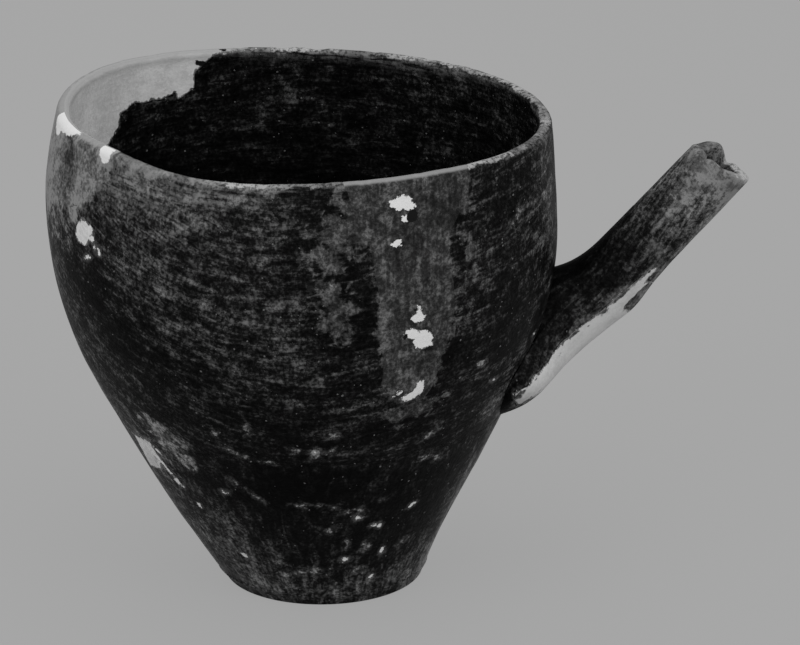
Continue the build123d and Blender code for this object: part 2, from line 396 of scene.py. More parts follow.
@dataclass(frozen=True)
class WallForm:
    """The hand-built wall: level circles that lean away from the spout, under a wavy lip.

    Heights are shares of the cup's height, girths are shares of the way from the base radius
    to the belly radius, leans are shares of the belly's lean, and walls are shares of the way
    from the belly wall to the foot wall.
    """

    cup_height: float = 153.0
    belly_radius: float = 79.6
    base_radius: float = 31.7
    wall: float = 4.4
    foot_wall: float = 7.2
    belly_lean: float = 5.4
    lip_wave: float = 2.6
    lip_orders: tuple[Place, ...] = ((-1.0, 0.08), (0.26, -0.43), (-0.21, 0.15))
    lip_rises: tuple[Triple, ...] = ((2.7, -141.0, 20.0),)
    lip_round_share: float = 0.48
    floor_height: float = 7.0
    floor_corner: float = 6.0
    height_shares: tuple[float, ...] = (
        0.0, 0.078, 0.163, 0.261, 0.359, 0.490, 0.621, 0.752, 0.863, 0.980, 1.098
    )
    girth_shares: tuple[float, ...] = (
        0.0, 0.128, 0.278, 0.449, 0.608, 0.810, 0.946, 1.0, 0.996, 0.956, 0.896
    )
    lean_shares: tuple[float, ...] = (
        0.0, 0.31, 0.49, 0.57, 0.65, 0.74, 0.83, 0.94, 1.0, 0.85, 0.63
    )
    wall_shares: tuple[float, ...] = (1.0, 0.71, 0.42, 0.28, 0.18, 0.10, 0.05, 0.0, 0.0, 0.0, 0.0)

    def _run(self, shares: tuple[float, ...], low: float, high: float, heights: np.ndarray) -> np.ndarray:
        """Gives a value between low and high that follows shares up the wall."""
        knots = np.array(self.height_shares) * self.cup_height
        return smooth_through(knots, low + np.array(shares) * (high - low), heights)

    def radius(self, heights: np.ndarray) -> np.ndarray:
        """Gives the outer radius at heights."""
        return self._run(self.girth_shares, self.base_radius, self.belly_radius, heights)

    def lean(self, heights: np.ndarray) -> np.ndarray:
        """Gives how far the circles at heights are moved along +X."""
        return self._run(self.lean_shares, 0.0, -self.belly_lean, heights)

    def thickness(self, heights: np.ndarray) -> np.ndarray:
        """Gives the wall's thickness at heights, with the round corner at the floor."""
        rise = np.clip(self.floor_height + self.floor_corner - heights, 0, self.floor_corner)
        corner = self.floor_corner - np.sqrt(self.floor_corner**2 - rise**2)
        return self._run(self.wall_shares, self.wall, self.foot_wall, heights) + corner

    def lip(self, azimuths: np.ndarray) -> np.ndarray:
        """Gives the lip's height round the cup: waves of 1, 2 and 3 turns, and a rise at the left.

        Each wave is a share of the cosine and a share of the sine of its turns.
        """
        turn = np.radians(azimuths)
        waves = sum(
            cosine * np.cos(order * turn) + sine * np.sin(order * turn)
            for order, (cosine, sine) in enumerate(self.lip_orders, start=1)
        )
        return self.cup_height + self.lip_wave * waves + rise_round(azimuths, self.lip_rises)

    def point(self, azimuths: np.ndarray, heights: np.ndarray, out: np.ndarray) -> np.ndarray:
        """Gives places in space.

        Each lies at an azimuth on the level circle of its height, moved out from the circle
        along its radius.

        Args:
            azimuths: degrees from +X.
            heights: heights above the table.
            out: how far outside the outer circle, less than 0 inside it.
        Returns:
            Points, the last axis being x, y, z.
        """
        reach = self.radius(heights) + out
        turn = np.radians(azimuths)
        return np.stack((self.lean(heights) + reach * np.cos(turn), reach * np.sin(turn), heights), axis=-1)

    def out_of_wall(self, points: np.ndarray) -> np.ndarray:
        """Gives how far points lie outside the outer circle of their height."""
        heights = np.clip(points[..., 2], 0, self.cup_height)
        return np.hypot(points[..., 0] - self.lean(heights), points[..., 1]) - self.radius(heights)


class Break(Enum):
    """The old breaks that plaster fills, named for where they are."""

    RIM = "rim"
    FRONT = "front"
    SIDE = "side"
    THUMB = "thumb"
    LOW = "low"


BARE_BREAKS = (Break.RIM, Break.SIDE, Break.LOW)


@dataclass(frozen=True)
class Outline:
    """A break's outline as places on the wall: azimuths in degrees and heights."""

    middle: float
    places: tuple[Place, ...]
    ragged: float
    grain: float
    seed: int
    finer: float = 2.3
    fine_share: float = 0.5

    def depth(self, form: WallForm, azimuths: np.ndarray, heights: np.ndarray) -> Field:
        """Gives how far places on the wall lie inside the break.

        Azimuths become lengths round the wall at the belly, and noise in two sizes is added
        to the distance, which leaves the outline ragged.

        Args:
            form: the wall.
            azimuths: degrees from +X.
            heights: heights above the table.
        Returns:
            Distances, less than 0 outside.
        """
        girth = math.radians(1) * form.belly_radius
        corners = [((azimuth - self.middle) * girth, height) for azimuth, height in self.places]
        distance = depth_inside(turn_from(azimuths, self.middle) * girth, heights, corners)
        places = form.point(azimuths, heights, np.zeros(heights.shape))
        layers = (1.0, self.grain, self.seed), (self.fine_share, self.grain / self.finer, self.seed + 1)
        return distance + self.ragged * layered(places, layers)


def outlines() -> dict[Break, Outline]:
    """Gives the outlines of the breaks, read off the photographed cup."""
    above = 170.0
    rim = (
        (222.7, above), (222.7, 155.8), (220.6, 151.3), (219.5, 144.8), (216.5, 139.2), (209.9, 134.4),
        (203.3, 132.8), (190.0, 128.5), (172.0, 131.0), (160.0, 133.0), (146.9, 128.9), (143.1, 134.4),
        (142.0, 139.1), (137.6, 141.2), (129.2, 139.9), (124.8, 140.9), (123.7, 138.6), (119.0, 141.8),
        (119.6, 146.4), (117.3, 149.1), (114.9, 151.4), (110.5, 152.5), (105.8, 152.9), (102.6, 154.0),
        (102.0, above),
    )
    front = (
        (-80.2, above), (-79.8, 152.1), (-78.1, 144.8), (-74.5, 135.4), (-73.1, 126.1), (-72.3, 116.6),
        (-73.1, 107.0), (-71.4, 96.8), (-71.6, 88.1), (-67.2, 81.1), (-61.0, 78.9), (-58.5, 84.0),
        (-57.3, 93.5), (-54.7, 102.8), (-54.2, 112.4), (-54.8, 123.7), (-55.8, 133.3), (-51.6, 139.8),
        (-49.2, 145.8), (-48.6, above),
    )
    side = (
        (-145.6, 133.2), (-141.1, 131.2), (-141.4, 128.7), (-143.3, 124.9), (-147.4, 124.4),
        (-148.6, 126.8), (-147.3, 130.7),
    )
    thumb = ((-151.9, 132.1), (-150.3, 136.2), (-148.6, 135.3), (-148.7, 131.4), (-150.3, 129.6))
    low = ((-152.1, 57.2), (-142.1, 58.6), (-141.8, 50.6), (-146.3, 46.0), (-156.0, 44.0))
    return {
        Break.RIM: Outline(165.0, rim, 0.9, 5.0, Seed.RIM_BREAK),
        Break.FRONT: Outline(-66.0, front, 0.5, 4.0, Seed.FRONT_BREAK),
        Break.SIDE: Outline(-145.0, side, 0.5, 2.2, Seed.SIDE_BREAK),
        Break.THUMB: Outline(-150.0, thumb, 0.2, 2.2, Seed.THUMB_BREAK),
        Break.LOW: Outline(-149.0, low, 0.3, 3.0, Seed.LOW_BREAK),
    }


@dataclass(frozen=True)
class Spot:
    """A small place with a look of its own, as an oval on the wall."""

    azimuth: float
    height: float
    half_width: float
    half_height: float
    turn: float = 0.0


def spot_depth(form: WallForm, spots: tuple[Spot, ...], azimuths: np.ndarray, heights: np.ndarray) -> Field:
    """Gives how far places on the wall lie inside the nearest of some ovals.

    For each oval it is the lesser half size times what is left of 1 after the scaled
    distance, in a frame turned with the oval.

    Args:
        form: the wall.
        spots: the ovals.
        azimuths: degrees from +X.
        heights: heights above the table.
    Returns:
        Distances, less than 0 outside, down to -8.
    """
    depth = np.full(heights.shape, FAR_OUTSIDE)
    girth = math.radians(1) * form.radius(np.clip(heights, 0.0, form.cup_height))
    for spot in spots:
        turn = math.radians(spot.turn)
        across, up = turn_from(azimuths, spot.azimuth) * girth, heights - spot.height
        along = across * math.cos(turn) + up * math.sin(turn)
        rise = up * math.cos(turn) - across * math.sin(turn)
        scaled = np.hypot(along / spot.half_width, rise / spot.half_height)
        depth = np.maximum(depth, min(spot.half_width, spot.half_height) * (1 - scaled))
    return depth


WHITE_CHIPS = (
    Spot(-66.9, 145.4, 3.8, 2.1), Spot(-65.4, 144.4, 2.4, 1.6, -20), Spot(-65.9, 140.6, 1.4, 1.1),
    Spot(-67.9, 133.2, 1.8, 1.0), Spot(-63.4, 109.0, 2.3, 1.5), Spot(-62.9, 110.6, 1.0, 2.2, 20),
    Spot(-64.6, 103.9, 3.3, 1.6, -14), Spot(-62.0, 101.4, 3.2, 3.2, -35), Spot(-61.0, 99.6, 2.0, 1.6),
    Spot(-64.3, 82.4, 2.9, 1.3, 10), Spot(-62.0, 84.8, 1.5, 2.9, -10), Spot(-67.0, 84.5, 0.9, 0.7),
    Spot(-68.5, 83.2, 0.6, 0.5), Spot(-141.6, 127.6, 1.4, 1.2), Spot(-140.4, 125.2, 0.8, 1.1, -20),
    Spot(-139.0, 124.2, 0.7, 0.9), Spot(-143.6, 121.2, 1.5, 0.8, 20), Spot(-160.5, 159.2, 13.0, 5.4, 6),
    Spot(-167.0, 158.0, 6.0, 7.0), Spot(-142.4, 51.6, 3.4, 0.9, -52), Spot(-140.2, 55.4, 2.4, 0.7, -50),
    Spot(-140.0, 47.4, 2.0, 0.7, -54),
    Spot(-140.4, 156.0, 2.8, 4.6, 22), Spot(-118.0, 45.5, 1.0, 0.6),
    Spot(-73.9, 36.6, 0.9, 0.8), Spot(-122.1, 18.9, 1.4, 0.7, -30), Spot(-76.8, 19.1, 1.1, 0.9),
    Spot(-66.0, 32.4, 1.3, 0.7), Spot(-64.6, 32.0, 0.8, 0.9), Spot(-53.0, 37.6, 1.3, 0.8, 30),
    Spot(-138.4, 44.6, 1.2, 1.2), Spot(-136.6, 43.0, 1.0, 0.9), Spot(-132.6, 36.8, 0.9, 0.9),
    Spot(-60.2, 20.5, 0.7, 1.3), Spot(-63.2, 10.5, 0.9, 0.8), Spot(-36.0, 79.0, 1.1, 0.5),
    Spot(-18.9, 87.2, 1.2, 0.5), Spot(-87.7, 64.4, 0.5, 0.4),
)
SCUFFS = (
    Spot(-132.0, 61.6, 9.0, 5.0, -48), Spot(-128.6, 56.2, 5.0, 3.6, -50), Spot(-136.0, 66.0, 6.4, 4.4, -30),
    Spot(-110.4, 63.1, 1.4, 0.5, -24), Spot(-106.2, 61.6, 1.0, 0.5, -12), Spot(-101.6, 60.2, 1.5, 0.4, -8),
    Spot(-97.6, 63.4, 0.8, 1.0), Spot(-93.0, 64.8, 1.6, 0.7), Spot(-87.4, 64.0, 1.4, 1.6),
    Spot(-86.8, 60.9, 1.3, 0.4), Spot(-83.4, 65.0, 0.8, 0.7, 20), Spot(-54.7, 56.3, 1.7, 0.8, 28),
    Spot(-49.9, 55.3, 1.2, 1.0, 20), Spot(-92.2, 42.8, 1.2, 0.4), Spot(-86.6, 42.8, 1.2, 0.5, -14),
    Spot(-82.6, 41.6, 1.5, 0.5, 10), Spot(-76.2, 39.8, 1.3, 0.5, 16), Spot(-72.6, 38.0, 1.8, 2.0),
    Spot(-81.9, 32.8, 1.9, 1.4, 38), Spot(-64.7, 42.8, 1.0, 0.6), Spot(-50.3, 22.4, 1.4, 0.7, 24),
    Spot(-126.1, 26.4, 1.8, 0.8, -10), Spot(-111.4, 48.9, 2.4, 0.6, -40), Spot(-106.8, 45.4, 1.6, 0.5, -44),
    Spot(-96.4, 14.8, 1.6, 0.8, 30), Spot(-89.6, 15.0, 1.6, 1.0, 10), Spot(-86.1, 12.4, 1.1, 0.6),
    Spot(-107.1, 18.1, 1.1, 0.6), Spot(-104.0, 12.4, 1.5, 0.8), Spot(-114.0, 69.0, 0.6, 1.2, 24),
    Spot(-105.1, 72.5, 0.8, 1.6), Spot(-83.0, 70.7, 1.6, 0.7),
    Spot(-68.0, 24.0, 1.2, 2.0), Spot(-77.0, 27.0, 0.9, 2.2),
    Spot(-70.0, 14.0, 1.6, 1.6), Spot(-56.0, 66.0, 2.2, 1.0, 30),
    Spot(-84.6, 122.6, 2.6, 1.2), Spot(-34.0, 132.0, 2.6, 0.8, 30), Spot(-44.0, 88.0, 1.8, 1.0),
)
# Pits in the wall and its fills; their near black is painted shade.
PITS = (
    Spot(-64.3, 140.9, 1.8, 1.9), Spot(-135.5, 151.0, 0.5, 0.5), Spot(-60.8, 98.2, 2.4, 0.8),
    Spot(-66.4, 103.4, 0.8, 1.0), Spot(-64.0, 111.8, 1.2, 0.6),
)
INNER_PITS = (Spot(118.0, 150.0, 2.6, 1.0, 20), Spot(112.0, 154.0, 1.5, 0.7, 20))
UPPER_FILLS = (Break.RIM, Break.FRONT, Break.SIDE, Break.THUMB)
FILLS = {
    Break.RIM: ("rim_plaster", "rim_fill", "bare_plaster"),
    Break.FRONT: ("front_plaster", "front_fill", "toned_plaster"),
    Break.SIDE: ("side_plaster", "side_plug", "bare_plaster"),
    Break.THUMB: ("thumb_plaster", "thumb_plug", "toned_plaster"),
    Break.LOW: ("low_plaster", "low_fill", "bare_plaster"),
}


@dataclass(frozen=True)
class WallTones:
    """Where the wall is painted grey, and how light its clay, plaster and paint are.

    Zones are bells over azimuth and height, and rises are bells over azimuth alone.
    """

    paint_zones: tuple[Zone, ...] = (
        (0.9, -83.0, 126.0, 4.0, 20.0), (0.6, -81.0, 108.0, 3.0, 10.0), (0.8, -77.0, 138.0, 3.6, 8.0),
        (0.5, -74.0, 142.0, 9.0, 10.0), (0.5, -50.5, 118.0, 3.5, 24.0), (0.5, -52.0, 147.0, 14.0, 6.0),
        (1.1, -64.5, 76.0, 6.5, 3.0), (0.9, -59.0, 79.5, 5.0, 3.0), (0.9, -137.0, 152.5, 3.2, 3.4),
        (0.9, -131.5, 60.0, 6.0, 6.0), (0.34, -147.0, 53.0, 7.0, 8.0), (1.2, -147.0, 136.8, 1.6, 3.4),
        (0.75, -164.0, 131.0, 12.0, 12.0),
    )
    tone_zones: tuple[Zone, ...] = (
        (0.12, -118.0, 122.0, 22.0, 22.0), (0.05, -96.0, 104.0, 20.0, 18.0),
        (0.13, -124.0, 146.0, 24.0, 11.0), (-0.16, -143.0, 112.0, 9.0, 12.0),
        (-0.10, -128.0, 88.0, 12.0, 16.0), (-0.05, -84.0, 118.0, 32.0, 34.0),
        (-0.08, -90.0, 72.0, 40.0, 8.0), (-0.20, -78.0, 50.0, 50.0, 11.0),
        (-0.14, -70.0, 28.0, 34.0, 17.0), (0.13, -130.0, 28.0, 18.0, 18.0),
        (-0.12, -38.0, 98.0, 14.0, 18.0), (-0.12, -106.0, 46.0, 26.0, 13.0),
        (0.16, -86.0, 6.0, 46.0, 7.0), (-0.10, -48.0, 32.0, 14.0, 20.0),
        (0.44, -131.5, 60.0, 7.0, 7.0), (0.34, -147.0, 53.0, 7.0, 8.0),
        (0.22, -124.0, 8.0, 22.0, 7.0), (0.20, -45.0, 8.0, 14.0, 7.0),
        (0.14, -28.0, 68.0, 7.0, 7.0), (0.14, -18.0, 130.0, 12.0, 22.0),
        (0.34, -150.3, 132.6, 2.4, 5.0), (0.26, -147.0, 136.8, 2.0, 4.0),
        (0.30, -137.0, 152.5, 3.4, 3.6), (-0.10, -64.0, 142.0, 10.0, 8.0),
        (-0.04, -64.0, 126.0, 10.0, 9.0), (0.10, -71.5, 130.0, 2.6, 30.0),
        (-0.12, -66.0, 128.0, 2.4, 6.0), (-0.14, -75.0, 113.0, 2.6, 9.0),
        (-0.14, -56.0, 142.0, 6.0, 8.0), (-0.12, -57.0, 96.0, 4.0, 8.0),
    )
    rim_zones: tuple[Zone, ...] = ((-0.32, -154.5, 146.0, 4.2, 9.0),)
    beside_rim_zones: tuple[Zone, ...] = ((0.22, -166.0, 131.0, 14.0, 9.0),)
    even_rises: tuple[Triple, ...] = ((0.01, -64.0, 10.0),)
    # Painted sheen: the lower body is lighter at its far right and far left edges.
    low_edge_sheen: tuple[Triple, ...] = ((0.44, -8.0, 18.0), (0.352, -170.0, 22.0))
    high_rises: tuple[Triple, ...] = ((0.30, -178.0, 16.0),)
    middle_tone: float = 0.474
    low_tone: float = -0.02
    low_span: Place = (62.0, 90.0)
    rim_tone: float = 0.26
    rim_span: Place = (-2.0, 1.0)
    rim_paint_span: Place = (-2.5, 0.5)
    rim_paint_azimuth: float = -150.0
    rim_paint_fade: Place = (12.0, 40.0)
    rim_paint_loss: float = 0.35
    band_rises: tuple[Triple, ...] = ((1.0, -124.0, 15.0),)
    band_drop: float = 3.2
    band_tone: float = 0.26
    band_paint: float = 0.75
    inner_tone: float = 0.36
    # Painted shade: the inside darkens far below the lip.
    inner_painted_shade: float = 0.12
    inner_painted_shade_span: Place = (20.0, 60.0)
    inner_rises: tuple[Triple, ...] = ((0.08, 50.0, 25.0),)
    inner_rise_drop: float = 22.0

    def outside(
        self, form: WallForm, azimuths: np.ndarray, heights: np.ndarray
    ) -> tuple[np.ndarray, np.ndarray]:
        """Gives how strongly grey paint covers the outside, and how light it is.

        Paint lies in zones, over the rim's plaster and in a band under the lip. The tone sums
        zones, and rises of its own below the belly, above it, and in and beside the rim's
        break. The rises below the belly at the far right and far left are painted sheen on
        the lower body's edges.

        Args:
            form: the wall.
            azimuths: degrees from +X.
            heights: heights above the table.
        Returns:
            The paint, from 0 to 1, and the tone.
        """
        in_rim = outlines()[Break.RIM].depth(form, azimuths, heights)
        filled, inside = ease(*self.rim_paint_span, in_rim), ease(*self.rim_span, in_rim)
        aside = np.abs(turn_from(azimuths, self.rim_paint_azimuth))
        painted_rim = filled * (1 - self.rim_paint_loss * ease(*self.rim_paint_fade, aside))
        paint = np.maximum(rise_over(azimuths, heights, self.paint_zones) * (1 - filled), painted_rim)
        low = 1 - ease(*self.low_span, heights)
        tone = self.middle_tone + rise_over(azimuths, heights, self.tone_zones)
        tone += rise_round(azimuths, self.even_rises) + (1 - low) * rise_round(azimuths, self.high_rises)
        # Below the belly, the edge rises paint sheen on the left and right edges.
        tone += low * (self.low_tone + rise_round(azimuths, self.low_edge_sheen))
        tone += inside * (self.rim_tone + rise_over(azimuths, heights, self.rim_zones))
        tone += (1 - inside) * rise_over(azimuths, heights, self.beside_rim_zones)
        band = rise_round(azimuths, self.band_rises) * hill(form.lip(azimuths) - heights, self.band_drop)
        paint = np.maximum(paint, self.band_paint * band)
        return np.clip(paint, 0, 1), tone + self.band_tone * band

    def inside(self, azimuths: np.ndarray, below: np.ndarray) -> np.ndarray:
        """Gives how light the inside is: painted shade darkens it far below the lip, and it is lighter at the
        right.
        """
        tone = self.inner_tone - self.inner_painted_shade * ease(*self.inner_painted_shade_span, below)
        return tone + rise_round(azimuths, self.inner_rises) * hill(below, self.inner_rise_drop)


@dataclass(frozen=True)
class HandWork:
    """The wall's hand-made unevenness, its strokes and the wear of its lip."""

    depth: float = 0.28
    swell_size: float = 27.0
    facet_size: float = 9.0
    facet_share: float = 0.4
    facet_stretch: Triple = (0.6, 0.6, 1.5)
    still_foot: float = 9.0
    still_lip: float = 4.0
    inner_share: float = 0.6
    inner_size: float = 14.0
    inner_stretch: Triple = (0.5, 0.5, 1.4)
    stroke_across: float = 0.62
    stroke_along: float = 0.115
    sink: float = 56.0
    sink_from: float = -200.0
    sink_to: float = -86.0
    upright_across: float = 22.0
    upright_along: float = 0.14
    upright_start: float = 40.0
    seam_blend: float = 1.0
    chip_reach: float = 6.0
    chip_base: float = 0.05
    chip_swell: float = 0.12
    chip_swell_size: float = 8.0
    chip_depth: float = 0.12
    chip_rises: tuple[Triple, ...] = ((0.8, 97.0, 13.0), (0.48, 66.0, 16.0))
    chip_layers: tuple[Layer, ...] = ((1.0, 3.0, Seed.LIP_CHIPS), (0.5, 1.6, Seed.LIP_CRUMBS))
    wear_start: float = -1.0
    wear_rises: tuple[Triple, ...] = ((14.0, -133.0, 20.0), (5.0, -103.0, 14.0), (3.0, -8.0, 13.0))
    inner_wear_start: float = 0.5
    inner_wear_rises: tuple[Triple, ...] = ((2.4, 62.0, 16.0), (2.0, 95.0, 12.0))
    # Real grime from handling near the lip; the spout's own value of this mark is painted shade.
    soil_and_shade: float = 0.7
    soil_span: Place = (0.4, 5.0)

    def outside(self, form: WallForm, azimuths: np.ndarray, heights: np.ndarray) -> np.ndarray:
        """Gives the relief of the outside: slow swells and pebble facets, still at foot and lip."""
        places = form.point(azimuths, heights, np.zeros(heights.shape))
        swells = noise(places, self.swell_size, Seed.WALL_SWELLS)
        facets = noise(places * self.facet_stretch, self.facet_size, Seed.WALL_FACETS)
        foot = ease(0.0, self.still_foot, heights)
        lip = 1 - ease(-self.still_lip, 0.0, heights - form.lip(azimuths))
        return self.depth * (swells + self.facet_share * facets) * foot * lip

    def inside(
        self, form: WallForm, azimuths: np.ndarray, heights: np.ndarray, thick: np.ndarray
    ) -> np.ndarray:
        """Gives the relief of the inside: swells drawn out round the cup."""
        places = form.point(azimuths, heights, -thick) * self.inner_stretch
        return self.inner_share * self.depth * noise(places, self.inner_size, Seed.INNER_SWELLS)

    def lip_chips(self, form: WallForm, azimuths: np.ndarray) -> np.ndarray:
        """Gives how far the lip is worn down: noise, deeper where the rear lip is chipped."""
        ring = form.point(azimuths, np.full(azimuths.shape, form.cup_height), np.zeros(azimuths.shape))
        swells = self.chip_swell * (1 + noise(ring, self.chip_swell_size, Seed.LIP_SWELLS))
        small = np.clip(layered(ring, self.chip_layers), 0, 1)
        return self.chip_base + swells + (self.chip_depth + rise_round(azimuths, self.chip_rises)) * small

    def strokes(
        self,
        points: np.ndarray,
        azimuths: np.ndarray,
        heights: np.ndarray,
        sunk: float | np.ndarray,
        above: np.ndarray,
    ) -> np.ndarray:
        """Gives coordinates that change slowly along the burnishing strokes.

        Above the seam the strokes go round the cup, so height counts much and the other two
        little. On the left they sink towards the front: the height that they have sunk by is
        a smooth step, and a straight climb round the cup brings it back. Below the seam they
        go up and down, so the azimuth counts much and height little.

        Args:
            points: places of the grid.
            azimuths: their azimuths in degrees.
            heights: their heights.
            sunk: how much the strokes have sunk by.
            above: 1 above the seam and 0 below it.
        Returns:
            Three coordinates for each place.
        """
        level = points * (self.stroke_along, self.stroke_along, 0.0)
        level[..., 2] = (heights + sunk) * self.stroke_across
        turn = np.radians(azimuths)
        upright = np.stack((
            self.upright_across * np.cos(turn),
            self.upright_across * np.sin(turn),
            heights * self.upright_along + self.upright_start,
        ), axis=-1)
        return level * above[..., None] + upright * (1 - above[..., None])

    def sunk(self, azimuths: np.ndarray) -> np.ndarray:
        """Gives how much lower the strokes of the outside run than at the left."""
        turned = (azimuths - self.sink_from) % 360.0 + self.sink_from
        step = ease(self.sink_from, self.sink_to, turned)
        return self.sink * (step - (turned - self.sink_from) / 360.0)


@dataclass
class Wall:
    """The two bands of clay, the base disc and the plaster fills in the wall."""

    form: WallForm = field(default_factory=WallForm)
    hand: HandWork = field(default_factory=HandWork)
    tones: WallTones = field(default_factory=WallTones)
    columns: int = 400
    crowded_azimuth: float = -85.0
    crowding: float = 0.45
    seam_height: float = 59.5
    seam_waves: tuple[Triple, ...] = ((0.8, 3.0, 0.6), (0.5, 5.0, 0.0))
    seam_lap: float = 8.0
    seam_lap_fade: float = 20.0
    seam_lap_span: Place = (0.6, 1.0)
    disc_edge_height: float = 4.0
    disc_lap: float = 6.8
    disc_lap_span: Place = (0.0, 0.3)
    base_edge: float = 1.2
    pole_radius: float = 0.5
    upper_rows: int = 100
    lip_rows: int = 12
    lower_rows: int = 64
    under_rows: int = 12
    edge_rows: int = 6
    corner_rows: int = 9
    floor_rows: int = 11
    paint_lap: float = 0.62
    paint_lap_span: Place = (-3.2, 0.2)
    smear_reach: float = 0.1
    smear_loss: float = 3.0

    def azimuths(self) -> np.ndarray:
        """Gives the azimuths of the grid's columns in degrees, closer together at the front."""
        even = np.arange(self.columns) * 360.0 / self.columns - 180.0
        return self.crowded_azimuth + even - self.crowding * np.degrees(np.sin(np.radians(even)))

    def seam(self, azimuths: np.ndarray) -> np.ndarray:
        """Gives the height of the seam between the bands, a slow wave round the cup."""
        turn = np.radians(azimuths)
        waves = sum(high * np.sin(order * turn + start) for high, order, start in self.seam_waves)
        return self.seam_height + waves

    def sheet(self, heights: np.ndarray, lap: np.ndarray, top_meets: bool) -> Sheet:
        """Makes the wall's sheet over a band of heights.

        The outer face is the form with its relief. The inner face is a wall's thickness inside
        it, and higher by the lap at each place. Towards the lip both faces close on the middle
        of the wall along a quarter oval.

        Args:
            heights: heights of the grid, rows by columns.
            lap: how much higher the inner face starts.
            top_meets: whether the last row is the lip.
        Returns:
            The sheet with its marks.
        """
        form, hand = self.form, self.hand
        azimuths = np.broadcast_to(self.azimuths(), heights.shape)
        inner_heights = heights + lap
        thick = form.thickness(inner_heights)
        out = hand.outside(form, azimuths, heights) - hand.depth
        back = hand.inside(form, azimuths, inner_heights, thick) - thick
        fall = 0.0
        if top_meets:
            under_lip = heights - form.lip(azimuths)
            reach = form.lip_round_share * form.wall
            open_share = np.sqrt(1 - np.clip((under_lip + reach) / reach, 0, 1) ** 2)
            middle = (out + back) / 2
            out, back = middle + (out - middle) * open_share, middle + (back - middle) * open_share
            fall = ease(-hand.chip_reach, 0.0, under_lip) * hand.lip_chips(form, azimuths)
        outer = form.point(azimuths, heights, out)
        inner = form.point(azimuths, inner_heights, back)
        outer[..., 2] -= fall
        inner[..., 2] -= fall
        return Sheet(
            outer,
            inner,
            self.marks(outer, azimuths, heights, outside=True),
            self.marks(inner, azimuths, inner_heights, outside=False),
            top_meets,
        )

    def marks(self, points: np.ndarray, azimuths: np.ndarray, heights: np.ndarray, outside: bool) -> Marks:
        """Gives what the finishes read at each place of the wall.

        Args:
            points: places of the grid.
            azimuths: their azimuths in degrees.
            heights: their heights.
            outside: whether this is the outer face.
        Returns:
            strokes: coordinates that change slowly along a burnishing stroke;
            lip: millimetres below the lip's crest;
            worn: how far the lip's wear reaches down;
            chips: how deep inside a white chip a place lies;
            scuffs: how deep it lies inside a pale scuff;
            pits: how deep it lies inside a pit, which is painted near black as shade;
            paint: how strongly grey paint covers it;
            soil_and_shade: how strongly handling has greyed bare plaster near the lip; on the spout's skim
                this mark is painted shade;
            tone: how light clay or paint is, about 0.5 on the whole, with painted sheen at the
                lower body's left and right edges and painted shade deep inside the cup.
        """
        form, hand = self.form, self.hand
        below = form.lip(azimuths) - heights
        if outside:
            paint, tone = self.tones.outside(form, azimuths, heights)
            chips, scuffs, pits = (
                spot_depth(form, spots, azimuths, heights) for spots in (WHITE_CHIPS, SCUFFS, PITS)
            )
            worn = hand.wear_start + rise_round(azimuths, hand.wear_rises)
            above = ease(-hand.seam_blend, hand.seam_blend, heights - self.seam(azimuths))
            strokes = hand.strokes(points, azimuths, heights, hand.sunk(azimuths), above)
        else:
            paint, tone = np.zeros(heights.shape), self.tones.inside(azimuths, below)
            chips = scuffs = np.full(heights.shape, FAR_OUTSIDE)
            pits = spot_depth(form, INNER_PITS, azimuths, heights)
            worn = hand.inner_wear_start + rise_round(azimuths, hand.inner_wear_rises)
            strokes = hand.strokes(points, azimuths, heights, 0.0, np.ones(heights.shape))
        return {
            "strokes": strokes,
            "lip": below,
            "worn": worn,
            "chips": chips,
            "scuffs": scuffs,
            "pits": pits,
            "paint": paint,
            "soil_and_shade": hand.soil_and_shade * (1 - ease(*hand.soil_span, below)),
            "tone": tone,
        }

    def upper_heights(self) -> np.ndarray:
        """Gives the upper band's grid: even rows, then rows that crowd towards the lip."""
        azimuths = self.azimuths()
        reach = self.form.lip_round_share * self.form.wall
        seam, lip = self.seam(azimuths), self.form.lip(azimuths)
        even = np.linspace(0, 1, self.upper_rows, endpoint=False)[:, None]
        turned = np.sin(np.linspace(0, math.pi / 2, self.lip_rows))[:, None]
        return np.concatenate((seam + even * (lip - reach - seam), lip - reach + turned * reach))

    def lower_heights(self) -> np.ndarray:
        """Gives the lower band's grid: even rows from the disc's edge to the seam."""
        share = np.linspace(0, 1, self.lower_rows)[:, None]
        return self.disc_edge_height + share * (self.seam(self.azimuths()) - self.disc_edge_height)

    def disc_profile(self) -> np.ndarray:
        """Gives the base disc's profile as radii and heights.

        It goes out along the bottom, round its edge, up the side, in over the bevel, down the
        inner corner by a quarter circle and in along the floor.
        """
        form, edge = self.form, self.base_edge
        turns = np.linspace(0, math.pi / 2, self.edge_rows + 1)[1:]
        foot, side = form.radius(np.array([0.0, self.disc_edge_height]))
        corner = np.linspace(self.disc_edge_height + self.disc_lap, form.floor_height, self.corner_rows)
        inner = form.radius(corner) - form.thickness(corner)
        stretches = (
            (np.linspace(self.pole_radius, foot - edge, self.under_rows), np.zeros(self.under_rows)),
            (foot - edge + edge * np.sin(turns), edge - edge * np.cos(turns)),
            ([side], [self.disc_edge_height]),
            (inner, corner),
            (
                np.linspace(inner[-1], self.pole_radius, self.floor_rows + 1)[1:],
                np.full(self.floor_rows, form.floor_height),
            ),
        )
        return np.concatenate([np.stack(stretch) for stretch in stretches], axis=1)

